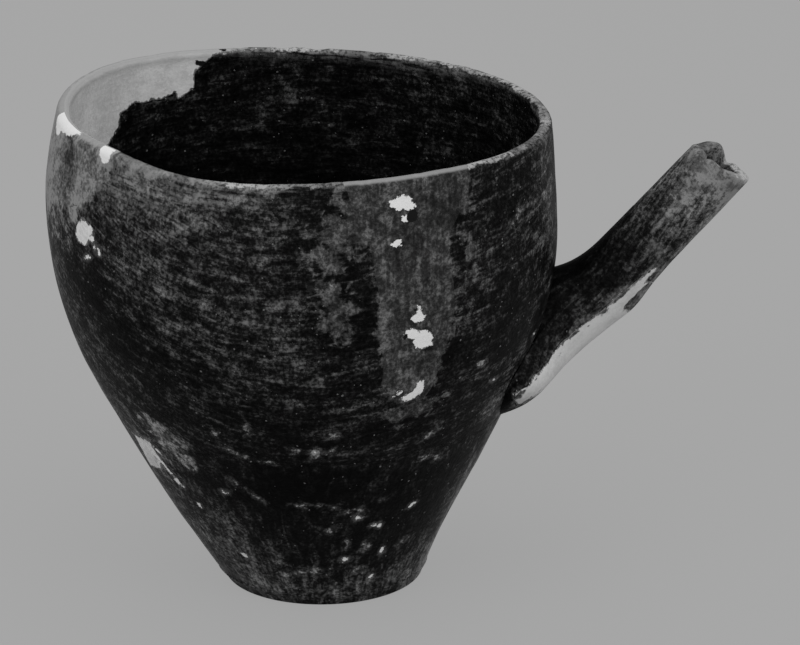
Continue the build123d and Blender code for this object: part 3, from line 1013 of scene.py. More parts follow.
    def disc(self) -> Skin:
        """Makes the base disc: its profile carried round the axis and closed at both poles."""
        form = self.form
        radii, heights = self.disc_profile()
        azimuths = np.broadcast_to(self.azimuths(), (len(radii), self.columns))
        high = np.broadcast_to(heights[:, None], azimuths.shape)
        points = form.point(azimuths, high, radii[:, None] - form.radius(high))
        marks = self.marks(points, azimuths, high, outside=True)
        inner_marks = self.marks(points, azimuths, high, outside=False)
        marks["strokes"][: self.under_rows] = inner_marks["strokes"][: self.under_rows]
        inside = slice(-self.corner_rows - self.floor_rows, None)
        for name, mark in marks.items():
            mark[inside] = inner_marks[name][inside]
        marks["edge"] = np.full(high.shape, FAR_OUTSIDE)
        ring = np.arange(self.columns)
        beside = (ring + 1) % self.columns
        count = azimuths.size
        top_ring = count - self.columns
        bottom = np.stack((np.full(self.columns, count), beside, ring), axis=1)
        top = np.stack((np.full(self.columns, count + 1), top_ring + ring, top_ring + beside), axis=1)
        poles = np.array([[0.0, 0.0, 0.0], [0.0, 0.0, form.floor_height]])
        poles[:, 0] = form.lean(poles[:, 2])
        closed_marks = {
            name: np.concatenate((mark, mark[:1], mark[-1:])) for name, mark in flat_marks(marks).items()
        }
        faces = [ring_faces(*azimuths.shape, closed=False), bottom, top]
        return Skin(np.concatenate((points.reshape(-1, 3), poles)), faces, closed_marks)

    def part(
        self,
        spout: "Spout",
        heights: np.ndarray,
        lap: np.ndarray,
        names: tuple[str, str],
        breaks: tuple[Break, ...],
        fills: tuple[Break, ...],
    ) -> None:
        """Parts one band of the wall into clay and plaster, and makes its pieces.

        Args:
            spout: gives the hole that its tube passes through.
            heights: heights of the band's grid.
            lap: how much higher the inner face starts, away from the hole.
            names: the clay's new name and its CAD node.
            breaks: the breaks that the clay leaves open.
            fills: those whose plaster lies in this band.
        """
        grid = np.broadcast_to(self.azimuths(), heights.shape)
        faces = self.form.point(grid, heights, np.zeros(heights.shape))
        near = spout.beside_hole(faces)
        sheet = self.sheet(heights, lap * (1 - near) - spout.hole_drop * near, Break.RIM in fills)
        drawn = outlines()
        depths = {name: drawn[name].depth(self.form, grid, heights) for name in breaks}
        taken = np.maximum.reduce(list(depths.values()))
        self.note_edges(sheet, taken, depths)
        sheet.cut(-np.maximum(taken, spout.hole_depth(faces))).piece(*names, "burnished_clay")
        for name in fills:
            sheet.cut(depths[name]).piece(*FILLS[name])

    def build(self, spout: "Spout") -> None:
        """Makes the upper band, the lower band, their fills and the disc.

        Args:
            spout: gives the hole that its tube passes through.
        """
        heights = self.upper_heights()
        lap = self.seam_lap * np.clip(1 - (heights - heights[0]) / self.seam_lap_fade, 0, 1) ** 2
        self.part(spout, heights, lap, ("upper_band", "upper_wall"), tuple(Break), UPPER_FILLS)
        heights = self.lower_heights()
        share = (heights - heights[0]) / (heights[-1] - heights[0])
        lap = self.disc_lap * (1 - ease(*self.disc_lap_span, share))
        lap += self.seam_lap * ease(*self.seam_lap_span, share)
        self.part(spout, heights, lap, ("lower_band", "lower_wall"), (Break.LOW,), (Break.LOW,))
        self.disc().piece("foot_disc", "base_disc", "burnished_clay")

    def note_edges(self, sheet: Sheet, edge: Field, depths: dict[Break, Field]) -> None:
        """Notes on a sheet how far places lie from the breaks, and laps paint over the clay there.

        Args:
            sheet: the sheet, whose marks gain the edge and whose chips gain plaster smears.
            edge: how deep a place lies inside any break.
            depths: how deep it lies inside each one.
        """
        bare = np.maximum.reduce([depth for name, depth in depths.items() if name in BARE_BREAKS])
        if Break.FRONT in depths:
            toned = np.maximum(depths[Break.FRONT], depths[Break.THUMB])
            lapped = self.paint_lap * ease(*self.paint_lap_span, toned)
            sheet.outer_marks["paint"] = np.maximum(sheet.outer_marks["paint"], lapped)
        for marks in (sheet.outer_marks, sheet.inner_marks):
            marks["edge"] = edge
            smeared = bare + self.smear_reach - self.smear_loss * marks["paint"]
            smeared = np.where(edge < 0, smeared, FAR_OUTSIDE)
            marks["chips"] = np.maximum(marks["chips"], smeared)


# The spout

@dataclass
class Spout:
    """The rolled tube, the luting collar at its root and the plaster skim under it."""

    wall: Wall
    root_height: float = 75.3
    root_sink: float = 0.8
    radius: float = 10.35
    bore: float = 5.65
    bend_length: float = 41.0
    straight_length: float = 44.5
    tenon: float = 34.0
    root_angle: float = 37.5
    tip_angle: float = 47.5
    mouth_slant: float = 11.0
    mouth_round: float = 1.5
    columns: int = 112
    rows: int = 120
    bore_rows: int = 60
    mouth_rows: int = 11
    hole_share: float = 0.93
    hole_drop: float = 4.7
    collar_length: float = 46.0
    collar_width: float = 32.0
    collar_depth: float = 13.0
    collar_angle: float = 42.0
    collar_start: float = -0.45
    collar_step: float = 0.20
    collar_end: float = 1.18
    collar_rows: int = 72
    collar_sink: float = 0.4
    collar_wides: tuple[float, ...] = (0.62, 0.88, 0.95, 0.63, 0.445, 0.375, 0.35, 0.338)
    collar_unders: tuple[float, ...] = (-0.66, -0.82, -0.86, -0.885, -0.91, -0.94, -0.965, -0.85)
    collar_tops: tuple[float, ...] = (0.38, 0.73, 1.0, 1.29, 1.26, 0.95, 0.83, 0.87)
    tenon_reach: float = 6.0
    tenon_sink: float = 0.2
    mouth_power: float = 0.8
    mouth_loss: float = 0.55
    mouth_clean: float = 1.1
    mouth_layers: tuple[Layer, ...] = ((0.3, 6.0, Seed.MOUTH_SWELLS), (0.25, 2.2, Seed.MOUTH_CRUMBS))
    mouth_rises: tuple[Triple, ...] = (
        (-1.5, 40.0, 9.0), (-0.4, 215.0, 16.0), (2.8, -70.0, 26.0), (-1.5, -112.0, 13.0),
    )
    tube_layers: tuple[Layer, ...] = ((0.16, 11.0, Seed.TUBE_SWELLS), (0.08, 5.0, Seed.TUBE_FACETS))
    uneven_span: Place = (6.0, 20.0)
    bore_uneven: float = 0.3
    taper: float = 0.175
    taper_span: Place = (60.0, 85.0)
    no_hole: float = -99.0
    hole_fade: Place = (-13.0, -2.0)
    stroke_twist: float = 0.020
    stroke_turns: float = 6.0
    stroke_run: float = 0.085
    stroke_start: float = 60.0
    worn: float = 6.0
    worn_rises: tuple[Triple, ...] = ((7.0, 50.0, 40.0), (22.0, 74.0, 9.0))
    # Greys the whole skim under the spout's root: painted shade.
    soil_and_shade: float = 0.42
    root_tone: float = 0.42
    root_loss: float = 0.03
    root_loss_middle: float = 10.0
    root_loss_reach: float = 8.0
    tone_climbs: tuple[Triple, ...] = ((0.27, 14.0, 78.0), (0.14, 72.0, 84.0))
    tone_streaks: tuple[Zone, ...] = ((0.16, 74.0, 9.0, 56.0, 70.0), (0.16, 150.0, 20.0, 10.0, 40.0))
    tone_zones: tuple[Zone, ...] = ((-0.22, 5.0, 34.0, 36.0, 20.0),)
    bore_tone: float = 0.62
    # Painted shade: the bore darkens further in from the mouth.
    bore_shade_fall: float = 0.34
    bore_shade_span: Place = (2.0, 14.0)
    bore_skin: float = 0.6
    lapped_paint: float = 0.5
    lapped_span: Place = (-3.2, -0.4)
    border_span: Place = (-0.4, 0.2)
    collar_reach: float = 0.9
    collar_crowding: float = 1.3
    collar_least: float = 0.35
    collar_layers: tuple[Layer, ...] = ((0.12, 7.0, Seed.SLEEVE_SWELLS),)
    feather_start: float = 0.62
    feather_thick: float = 0.05
    sleeve_sink: float = 0.3
    nearest_steps: int = 4
    lip_distance: float = 60.0
    skim_rough: float = 0.8
    skim_stretch: Triple = (0.45, 1.0, 1.0)
    skim_layers: tuple[Layer, ...] = ((1.0, 2.6, Seed.SKIM_BORDER), (0.6, 1.2, Seed.SKIM_CRUMBS))
    skim_span: Place = (-0.2, 0.2)
    streak_paint: float = 0.62
    streak_size: float = 1.5
    streak_stretch: Triple = (0.22, 1.0, 1.0)
    streak_span: Place = (-0.1, 0.7)
    streak_reach: Place = (0.6, 5.0)
    under_along: Place = (29.0, 34.0)
    under_across: Place = (-8.2, -7.0)
    skim: tuple[Place, ...] = (
        (-7.4, 1.0), (-0.9, -1.2), (6.3, -2.0), (12.8, -2.3), (19.2, -2.6), (26.0, -3.7), (31.3, -3.3),
        (40.5, -4.2), (49.5, -4.6), (47.0, -6.6), (43.0, -7.0), (44.0, -16.9), (11.5, -16.9),
        (0.0, -11.0), (-5.0, -7.4), (-12.0, -5.6),
    )

    @property
    def root(self) -> np.ndarray:
        """Gives the place where the centre line leaves the wall, a little under its outer face."""
        height = np.array([self.root_height])
        form = self.wall.form
        reach = (form.radius(height) + form.lean(height))[0] - self.root_sink
        return np.array([reach, 0.0, self.root_height])

    def line(self, along: np.ndarray) -> tuple[np.ndarray, np.ndarray]:
        """Gives the centre line and its upper side at lengths from the root.

        The line is straight up to the root, then bends on an arc and is straight again. The
        arc's places are its radius times the change in the sine and cosine of its direction.

        Args:
            along: lengths from the root, less than 0 inside the cup.
        Returns:
            Points, and unit vectors square to the line that point up.
        """
        start, bend = math.radians(self.root_angle), math.radians(self.tip_angle - self.root_angle)
        arc = self.bend_length / bend
        angle = start + bend * np.clip(along / self.bend_length, 0, 1)
        rest = np.where(along < 0, along, np.maximum(along - self.bend_length, 0))
        across = arc * (np.sin(angle) - math.sin(start)) + rest * np.cos(angle)
        up = arc * (math.cos(start) - np.cos(angle)) + rest * np.sin(angle)
        still = np.zeros_like(along)
        return (
            self.root + np.stack((across, still, up), axis=-1),
            np.stack((-np.sin(angle), still, np.cos(angle)), axis=-1),
        )

    def tube_point(self, along: np.ndarray, turns: np.ndarray, radius: np.ndarray) -> np.ndarray:
        """Gives places on a tube round the centre line.

        Args:
            along: lengths from the root.
            turns: angles round the line from its upper side.
            radius: distances from the line.
        Returns:
            Points, the last axis being x, y, z.
        """
        centre, upper = self.line(along)
        side = np.array([0.0, -1.0, 0.0])
        turned = upper * np.cos(turns)[..., None] + side * np.sin(turns)[..., None]
        return centre + turned * radius[..., None]

    def hole_depth(self, points: np.ndarray) -> Field:
        """Gives how far points of the wall lie inside the hole for the tube."""
        angle = math.radians(self.root_angle)
        way = np.array([math.cos(angle), 0.0, math.sin(angle)])
        offset = points - self.root
        offset = offset - (offset @ way)[..., None] * way
        distance = np.linalg.norm(offset, axis=-1)
        return np.where(points[..., 0] > 0, self.radius * self.hole_share - distance, self.no_hole)

    def beside_hole(self, points: np.ndarray) -> np.ndarray:
        """Gives 1 at the hole in the wall and 0 from 13 mm outside it."""
        return ease(*self.hole_fade, self.hole_depth(points))

    def meet(
        self,
        surface: Callable[[np.ndarray], np.ndarray],
        low: np.ndarray,
        high: np.ndarray,
        out: float,
        inner: bool,
    ) -> np.ndarray:
        """Finds where lines of a surface pass through the wall by halving the span that holds it.

        Args:
            surface: gives points for places along its lines.
            low: places inside the cup.
            high: places outside it.
            out: how far outside the face the lines end.
            inner: whether the face is the wall's inner one.
        Returns:
            The places.
        """
        form = self.wall.form
        for _ in range(HALVINGS):
            middle = (low + high) / 2
            points = surface(middle)
            face = -form.thickness(points[..., 2]) if inner else 0.0
            outside = form.out_of_wall(points) > face + out
            low, high = np.where(outside, low, middle), np.where(outside, middle, high)
        return (low + high) / 2

    def tube(self) -> Skin:
        """Makes the tube as one closed skin.

        Its rows go down the bore, over the end that is flush with the wall's inner face, up
        the outside and round the mouth, which is cut on the slant and worn unevenly.
        """
        turns = np.linspace(0, 2 * math.pi, self.columns, endpoint=False)
        ring = np.stack((np.cos(turns), np.sin(turns), 0 * turns), axis=-1) * self.radius
        degrees = np.degrees(turns)
        wear = layered(ring, self.mouth_layers) + rise_round(degrees, self.mouth_rises) - self.mouth_loss
        length = self.bend_length + self.straight_length + wear
        slant = math.tan(math.radians(self.mouth_slant)) * np.cos(turns)

        def end(radius: float) -> np.ndarray:
            """Gives the length at which the tube of a radius ends inside the cup."""
            def surface(along: np.ndarray) -> np.ndarray:
                """Gives the tube's places at lengths."""
                return self.tube_point(along, turns, np.full(turns.shape, radius))

            low, high = np.full(turns.shape, -self.tenon), np.full(turns.shape, self.tenon_reach)
            return self.meet(surface, low, high, -self.tenon_sink, inner=True)

        middle, half = (self.radius + self.bore) / 2, (self.radius - self.bore) / 2
        shares = np.linspace(1, 0, self.bore_rows)[:, None]
        bore_end, outer_end = end(self.bore), end(self.radius)
        bore_top = length - self.bore * slant - self.mouth_round
        bore_along = bore_end + shares * (bore_top - bore_end)
        shares = np.linspace(0, 1, self.rows)[:, None]
        outer_top = length - self.radius * slant - self.mouth_round
        outer_along = outer_end + shares * (outer_top - outer_end)
        sweep = np.linspace(0, math.pi, self.mouth_rows + 2)[1:-1, None]
        mouth_radius = middle + half * np.cos(sweep) + 0 * turns
        sunk = self.mouth_round * (1 - np.sin(sweep) ** self.mouth_power)
        mouth_along = length - mouth_radius * slant - sunk
        along = np.concatenate((bore_along, outer_along, mouth_along))
        radius = np.concatenate((
            np.full(bore_along.shape, self.bore), np.full(outer_along.shape, self.radius), mouth_radius
        ))
        turned = np.broadcast_to(turns, along.shape)
        places = self.tube_point(along, turned, radius)
        outer = radius > middle
        away = ease(*self.uneven_span, along) * np.where(outer, 1.0, self.bore_uneven)
        taper = self.taper * ease(*self.taper_span, along) * outer
        radius = radius + away * (layered(places, self.tube_layers) - taper)
        points = self.tube_point(along, turned, radius)
        marks = self.marks(points, along, turned, length - along + self.mouth_clean)
        # The bore's tone falls from the mouth inwards: painted shade in the bore.
        shaded_bore_tone = self.bore_tone - self.bore_shade_fall * ease(*self.bore_shade_span, length - along)
        marks["tone"] = np.where(radius < self.bore + self.bore_skin, shaded_bore_tone, marks["tone"])
        faces = [ring_faces(len(along), self.columns, closed=True)]
        return Skin(points.reshape(-1, 3), faces, flat_marks(marks))

    def marks(self, points: np.ndarray, along: np.ndarray, turns: np.ndarray, below: np.ndarray) -> Marks:
        """Gives what the finishes read at each place of the spout.

        The strokes wind slowly round the tube. The tone rises from the root to the tip.

        Args:
            points: places of the grid.
            along: their lengths from the root.
            turns: their angles round the line.
            below: their lengths below the mouth's crest.
        Returns:
            The same marks as the wall's.
        """
        wound = turns + self.stroke_twist * along
        across = self.stroke_turns * np.stack((np.cos(wound), np.sin(wound)), axis=-1)
        level = self.stroke_run * along + self.stroke_start
        strokes = np.concatenate((across, level[..., None]), axis=-1)
        degrees = np.degrees(turns)
        skim = self.skim_depth(points)
        tone = self.root_tone + rise_over(degrees, along, self.tone_zones)
        tone -= self.root_loss * hill(along - self.root_loss_middle, self.root_loss_reach)
        for high, start, end in self.tone_climbs:
            tone += high * ease(start, end, along)
        for high, middle, wide, start, end in self.tone_streaks:
            tone += high * hill(turn_from(degrees, middle), wide) * ease(start, end, along)
        lapped = self.lapped_paint * ease(*self.lapped_span, skim) * (1 - ease(*self.border_span, skim))
        return {
            "strokes": strokes,
            "lip": below,
            "worn": self.worn + rise_round(degrees, self.worn_rises),
            "chips": np.where(skim < 0, np.maximum(skim, FAR_OUTSIDE), FAR_OUTSIDE),
            "scuffs": np.full(along.shape, FAR_OUTSIDE),
            "pits": np.full(along.shape, FAR_OUTSIDE),
            "paint": np.maximum(lapped, self.skim_toning(points, skim)),
            # The skim under the spout's root is greyed evenly: painted shade.
            "soil_and_shade": np.full(along.shape, self.soil_and_shade),
            "tone": tone,
            "edge": skim,
        }

    def collar_frame(self, points: np.ndarray) -> np.ndarray:
        """Gives places as lengths along the collar, sideways and square to it, from the root."""
        angle = math.radians(self.collar_angle)
        offset = points - self.root
        along = offset[..., 0] * math.cos(angle) + offset[..., 2] * math.sin(angle)
        across = offset[..., 2] * math.cos(angle) - offset[..., 0] * math.sin(angle)
        return np.stack((along, offset[..., 1], across), axis=-1)

    def skim_depth(self, points: np.ndarray) -> Field:
        """Gives how far places of the spout lie inside the plaster skim.

        The outline is drawn in the spout's upright plane, along the collar and across it, and
        noise stretched along the tube makes it ragged.
        """
        places = self.collar_frame(points)
        rough = layered(places * self.skim_stretch, self.skim_layers)
        return depth_inside(places[..., 0], places[..., 2], list(self.skim)) + self.skim_rough * rough

    def skim_toning(self, points: np.ndarray, skim: Field) -> np.ndarray:
        """Gives how strongly dark paint covers the skim.

        It lies in streaks along the tube within 5 mm of the border, and covers the underside
        of the skim's upper end.

        Args:
            points: places of the spout.
            skim: how deep they lie inside the skim.
        Returns:
            The paint, from 0 to 1, and nothing outside the skim.
        """
        places = self.collar_frame(points)
        drawn = noise(places * self.streak_stretch, self.streak_size, Seed.SKIM_STREAKS)
        streaks = ease(*self.streak_span, drawn) * (1 - ease(*self.streak_reach, skim))
        under = ease(*self.under_along, places[..., 0]) * (1 - ease(*self.under_across, places[..., 2]))
        return np.maximum(self.streak_paint * streaks, under) * ease(*self.skim_span, skim)

    def sleeve(self) -> Sheet:
        """Makes the sheet over the spout's root.

        Its outer face is a row of ovals square to the collar's way, whose widths and depths
        run smoothly from the wall to the tube. It never lies inside the tube and ends flush
        with it. Its inner face lies just under the tube's.
        """
        angle = math.radians(self.collar_angle)
        way = np.array([math.cos(angle), 0.0, math.sin(angle)])
        upper = np.array([-math.sin(angle), 0.0, math.cos(angle)])
        knots = self.collar_start + self.collar_step * np.arange(len(self.collar_wides))
        turns = np.linspace(0, 2 * math.pi, self.columns, endpoint=False)

        def oval(share: np.ndarray) -> np.ndarray:
            """Gives places on the ovals at shares of the collar's length."""
            held = np.clip(share, knots[0], knots[-1])
            wide = smooth_through(knots, np.array(self.collar_wides), held) * self.collar_width
            under = smooth_through(knots, np.array(self.collar_unders), held) * self.collar_depth
            top = smooth_through(knots, np.array(self.collar_tops), held) * self.collar_depth
            rise = (top + under) / 2 + (top - under) / 2 * np.cos(turns)
            along = (share * self.collar_length)[..., None] * way
            aside = (wide * np.sin(turns))[..., None] * (0, -1, 0)
            return self.root + along + rise[..., None] * upper + aside

        low, high = np.full(turns.shape, self.collar_start), np.full(turns.shape, self.collar_reach)
        start = self.meet(oval, low, high, -self.collar_sink, inner=False)
        rows = np.linspace(0, 1, self.collar_rows)[:, None] ** self.collar_crowding
        share = start + rows * (self.collar_end - start)
        outer = oval(share)
        along = np.einsum("...i,i->...", outer - self.root, way)
        for _ in range(self.nearest_steps):
            centre, up = self.line(along)
            ahead = np.stack((up[..., 2], 0 * along, -up[..., 0]), axis=-1)
            along = along + np.einsum("...i,...i->...", outer - centre, ahead)
        centre, _ = self.line(along)
        spoke = outer - centre
        reach = np.linalg.norm(spoke, axis=-1, keepdims=True)
        spoke = spoke / reach
        feather = ease(self.feather_start, self.collar_end, share)[..., None]
        uneven = layered(outer, self.collar_layers)[..., None]
        reach = np.maximum(reach, self.radius + self.collar_least)
        reach = (reach + uneven) * (1 - feather) + (self.radius + self.feather_thick) * feather
        outer = centre + spoke * reach
        inner = centre + spoke * (self.radius - self.sleeve_sink)
        below = np.full(along.shape, self.lip_distance)
        marks = self.marks(outer, along, np.broadcast_to(turns, along.shape), below)
        return Sheet(outer, inner, marks, marks, False)

    def build(self) -> None:
        """Makes the tube, and parts the sleeve into the collar and the skim."""
        self.tube().piece("rolled_tube", "spout_tube", "burnished_clay")
        sleeve = self.sleeve()
        depth = self.skim_depth(sleeve.outer)
        sleeve.cut(-depth).piece("luting", "spout_collar", "luting_clay")
        sleeve.cut(depth).piece("skim_plaster", "spout_skim", "bare_plaster")


# Finishes

class Graph:
    """Adds nodes to one tree and links them, in few words."""

    def __init__(self, tree: bpy.types.NodeTree) -> None:
        """Keeps the tree and clears it."""
        self.tree = tree
        tree.nodes.clear()

    def add(self, kind: str, inputs: dict[str | int, Value], **settings: object) -> bpy.types.Node:
        """Adds a node.

        Args:
            kind: its type.
            inputs: values or sockets by input name or number.
            settings: its own settings.
        Returns:
            The node.
        """
        node = self.tree.nodes.new(kind)
        for name, value in settings.items():
            setattr(node, name, value)
        for name, value in inputs.items():
            if isinstance(value, Socket):
                self.tree.links.new(value, node.inputs[name])
            else:
                node.inputs[name].default_value = value
        return node

    def math(self, operation: str, *values: Value) -> Socket:
        """Gives the outcome of one sum."""
        return self.add("ShaderNodeMath", dict(enumerate(values)), operation=operation).outputs[0]

    def vector(self, operation: str, first: Value, second: Value) -> Socket:
        """Gives the outcome of one sum of vectors."""
        return self.add("ShaderNodeVectorMath", {0: first, 1: second}, operation=operation).outputs[0]

    def span(
        self, value: Value, low: Value, high: Value, to_low: Value = 0.0, to_high: Value = 1.0
    ) -> Socket:
        """Gives a value smoothly carried from one span to another."""
        inputs = {"Value": value, "From Min": low, "From Max": high, "To Min": to_low, "To Max": to_high}
        return self.add("ShaderNodeMapRange", inputs, interpolation_type="SMOOTHSTEP").outputs[0]

    def noise(
        self, vector: Value, scale: Value, detail: float = 2.0, rough: float = 0.5, twist: float = 0.0
    ) -> Socket:
        """Gives noise from 0 to 1 at a scale."""
        inputs = {"Vector": vector, "Scale": scale, "Detail": detail, "Roughness": rough, "Distortion": twist}
        return self.add("ShaderNodeTexNoise", inputs).outputs[0]

    def mix(self, share: Value, first: Value, second: Value) -> Socket:
        """Gives a colour between two."""
        return self.add("ShaderNodeMix", {0: share, 6: first, 7: second}, data_type="RGBA").outputs[2]

    def mark(self, name: str, output: str = "Fac") -> Socket:
        """Gives what the mesh carries: a number, or coordinates from the output "Vector"."""
        return self.add("ShaderNodeAttribute", {}, attribute_name=name).outputs[output]

    def sway(self, value: Value, weight: Value, onto: Value) -> Socket:
        """Adds a value from 0 to 1 on to another, weighted, so that its middle changes nothing."""
        return self.math("MULTIPLY_ADD", self.math("SUBTRACT", value, 0.5), weight, onto)

    def group(self, tree: bpy.types.NodeTree, inputs: dict[str, Value]) -> Sockets:
        """Places a node group with its own values and gives its outputs."""
        return self.add("ShaderNodeGroup", inputs, node_tree=tree).outputs

    def ramp(self, value: Value, stops: Stops) -> Socket:
        """Gives greys along a value, from stops of place and grey."""
        node = self.add("ShaderNodeValToRGB", {0: value})
        line = node.color_ramp.elements
        while len(line) < len(stops):
            line.new(0.5)
        for stop, (place, grey) in zip(line, stops):
            stop.position, stop.color = place, (grey, grey, grey, 1.0)
        return node.outputs[0]


def grey(level: float) -> tuple[float, float, float, float]:
    """Gives a plain grey as a colour."""
    return (level, level, level, 1.0)


def new_group(
    name: str, inputs: dict[str, float | None], outputs: tuple[str, ...]
) -> tuple[Graph, dict[str, Socket], bpy.types.Node]:
    """Starts a node group with named sockets.

    Args:
        name: the group's name.
        inputs: default numbers by input name, with None for a vector.
        outputs: names of the numbers that it puts out.
    Returns:
        A graph, the inputs as sockets and the output node.
    """
    tree = bpy.data.node_groups.new(name, "ShaderNodeTree")
    for socket, default in inputs.items():
        kind = "NodeSocketVector" if default is None else "NodeSocketFloat"
        made = tree.interface.new_socket(name=socket, in_out="INPUT", socket_type=kind)
        if default is not None:
            made.default_value = default
    for socket in outputs:
        tree.interface.new_socket(name=socket, in_out="OUTPUT", socket_type="NodeSocketFloat")
    graph = Graph(tree)
    start, end = tree.nodes.new("NodeGroupInput"), tree.nodes.new("NodeGroupOutput")
    return graph, {socket: start.outputs[socket] for socket in inputs}, end


@dataclass(frozen=True)
class Effects:
    """The shader node groups that several finishes use."""

    grain: bpy.types.NodeTree
    ragged: bpy.types.NodeTree
    flecks: bpy.types.NodeTree

    @classmethod
    def make(cls) -> "Effects":
        """Builds each group once."""
        return cls(cls._grain(), cls._ragged(), cls._flecks())

    def spots(self, graph: Graph, depth: Value, place: Value, border: Triple) -> Sockets:
        """Gives the inside and the fringe of spots with ragged borders.

        Args:
            graph: a material's graph.
            depth: how deep inside a spot a place lies, in millimetres.
            place: Object coordinates.
            border: how rough the border is, how fine its grain is and how wide its fringe.
        Returns:
            The outputs "Inside" and "Fringe".
        """
        rough, grain, fringe = border
        inputs = {"Depth": depth, "Place": place, "Rough": rough, "Grain": grain, "Fringe": fringe}
        return graph.group(self.ragged, inputs)

    @staticmethod
    def _grain() -> bpy.types.NodeTree:
        """Makes grain in four sizes, each from 0 to 1.

        Streaks follow the stroke coordinates. Clouds are some centimetres wide, patches some
        millimetres and specks under a millimetre.
        """
        graph, start, end = new_group(
            "burnish_grain", {"Strokes": None, "Place": None}, ("Streaks", "Clouds", "Patches", "Specks")
        )
        broad = graph.noise(start["Strokes"], 0.50, 3.0, 0.55, 0.7)
        narrow = graph.noise(start["Strokes"], 1.5, 2.0, 0.5, 0.6)
        both = graph.math("MULTIPLY_ADD", narrow, 0.40, graph.math("MULTIPLY", broad, 0.60))
        links = graph.tree.links
        links.new(graph.span(both, 0.38, 0.64), end.inputs["Streaks"])
        sizes = {
            "Clouds": ((42.0, 3.0, 0.55, 0.0), (0.32, 0.68)),
            "Patches": ((230.0, 3.0, 0.6, 0.4), (0.34, 0.66)),
            "Specks": ((900.0, 2.0, 0.7, 0.0), (0.36, 0.64)),
        }
        for name, (settings, span) in sizes.items():
            links.new(graph.span(graph.noise(start["Place"], *settings), *span), end.inputs[name])
        return graph.tree

    @staticmethod
    def _ragged() -> bpy.types.NodeTree:
        """Makes a ragged edge from a distance in millimetres, with a soft fringe outside it."""
        graph, start, end = new_group(
            "ragged_edge",
            {"Depth": 0.0, "Place": None, "Rough": 0.6, "Grain": 420.0, "Fringe": 1.0},
            ("Inside", "Fringe"),
        )
        bumps = graph.noise(start["Place"], start["Grain"], 3.0, 0.75)
        bent = graph.sway(bumps, graph.math("MULTIPLY", start["Rough"], 4.0), start["Depth"])
        links = graph.tree.links
        links.new(graph.span(bent, -0.08, 0.14), end.inputs["Inside"])
        faint = graph.span(bent, graph.math("MULTIPLY", start["Fringe"], -1.0), 0.0)
        links.new(faint, end.inputs["Fringe"])
        return graph.tree

    @staticmethod
    def _flecks() -> bpy.types.NodeTree:
        """Makes sparse dots: the middles of some of the cells round scattered points."""
        graph, start, end = new_group("flecks", {"Place": None, "Spread": 400.0, "Share": 0.1}, ("Dots",))
        cells = graph.add("ShaderNodeTexVoronoi", {"Vector": start["Place"], "Scale": start["Spread"]})
        chance = graph.add("ShaderNodeSeparateColor", {0: cells.outputs["Color"]})
        picked = graph.math("LESS_THAN", chance.outputs[0], start["Share"])
        size = graph.math("MULTIPLY", graph.math("MULTIPLY", chance.outputs[1], chance.outputs[1]), 0.20)
        edge = graph.noise(start["Place"], 1800.0, 2.0)
        near = graph.math("MULTIPLY_ADD", edge, 0.44, graph.math("SUBTRACT", cells.outputs["Distance"], 0.20))
        dot = graph.math("LESS_THAN", near, size)
        graph.tree.links.new(graph.math("MULTIPLY", dot, picked), end.inputs["Dots"])
        return graph.tree


def new_material(name: str) -> tuple[bpy.types.Material, Graph, Socket]:
    """Starts a material and gives its graph and Object coordinates."""
    material = bpy.data.materials.new(name + FINISH)
    material.use_nodes = True
    graph = Graph(material.node_tree)
    return material, graph, graph.add("ShaderNodeTexCoord", {}).outputs["Object"]


def close_material(
    graph: Graph, colour: Value, rough: Value, height: Value, depth: float, gloss: float
) -> None:
    """Ends a material in its shader.

    Args:
        graph: the material's graph.
        colour: its base colour.
        rough: its roughness.
        height: relief from 0 to 1.
        depth: what a relief of 1 measures, in millimetres.
        gloss: the specular level, the same all over.
    """
    bump = graph.add("ShaderNodeBump", {"Strength": 1.0, "Distance": depth * MILLIMETRE, "Height": height})
    shader = graph.add(
        "ShaderNodeBsdfPrincipled",
        {"Base Color": colour, "Roughness": rough, "Normal": bump.outputs[0], "Specular IOR Level": gloss},
    )
    graph.add("ShaderNodeOutputMaterial", {"Surface": shader.outputs[0]})


@dataclass(frozen=True)
class Toning:
    """Grey paint that hides mends: mottled, with brush marks, over clay or plaster."""

    brushed: float
    greys: Stops = ((0.08, 0.007), (0.34, 0.018), (0.52, 0.040), (0.75, 0.105), (0.95, 0.20))

    def colour(self, graph: Graph, grain: Sockets, brush: Value) -> Socket:
        """Gives the paint's grey.

        Args:
            graph: the material's graph.
            grain: the grain group's outputs.
            brush: brush marks from 0 to 1.
        Returns:
            The colour: tone, patches, specks and brush marks, summed and turned into grey.
        """
        light = graph.sway(grain["Patches"], 0.30, graph.mark("tone"))
        light = graph.sway(grain["Specks"], 0.26, light)
        light = graph.sway(brush, self.brushed, light)
        return graph.ramp(light, self.greys)


def brush_marks(graph: Graph, place: Value) -> Socket:
    """Gives upright brush marks from 0 to 1: noise drawn out along the height."""
    scale = (520.0, 520.0, 60.0)
    drawn = graph.add("ShaderNodeMapping", {"Vector": place, "Scale": scale}, vector_type="POINT")
    return graph.span(graph.noise(drawn.outputs[0], 1.0, 3.0, 0.6, 0.3), 0.34, 0.66)


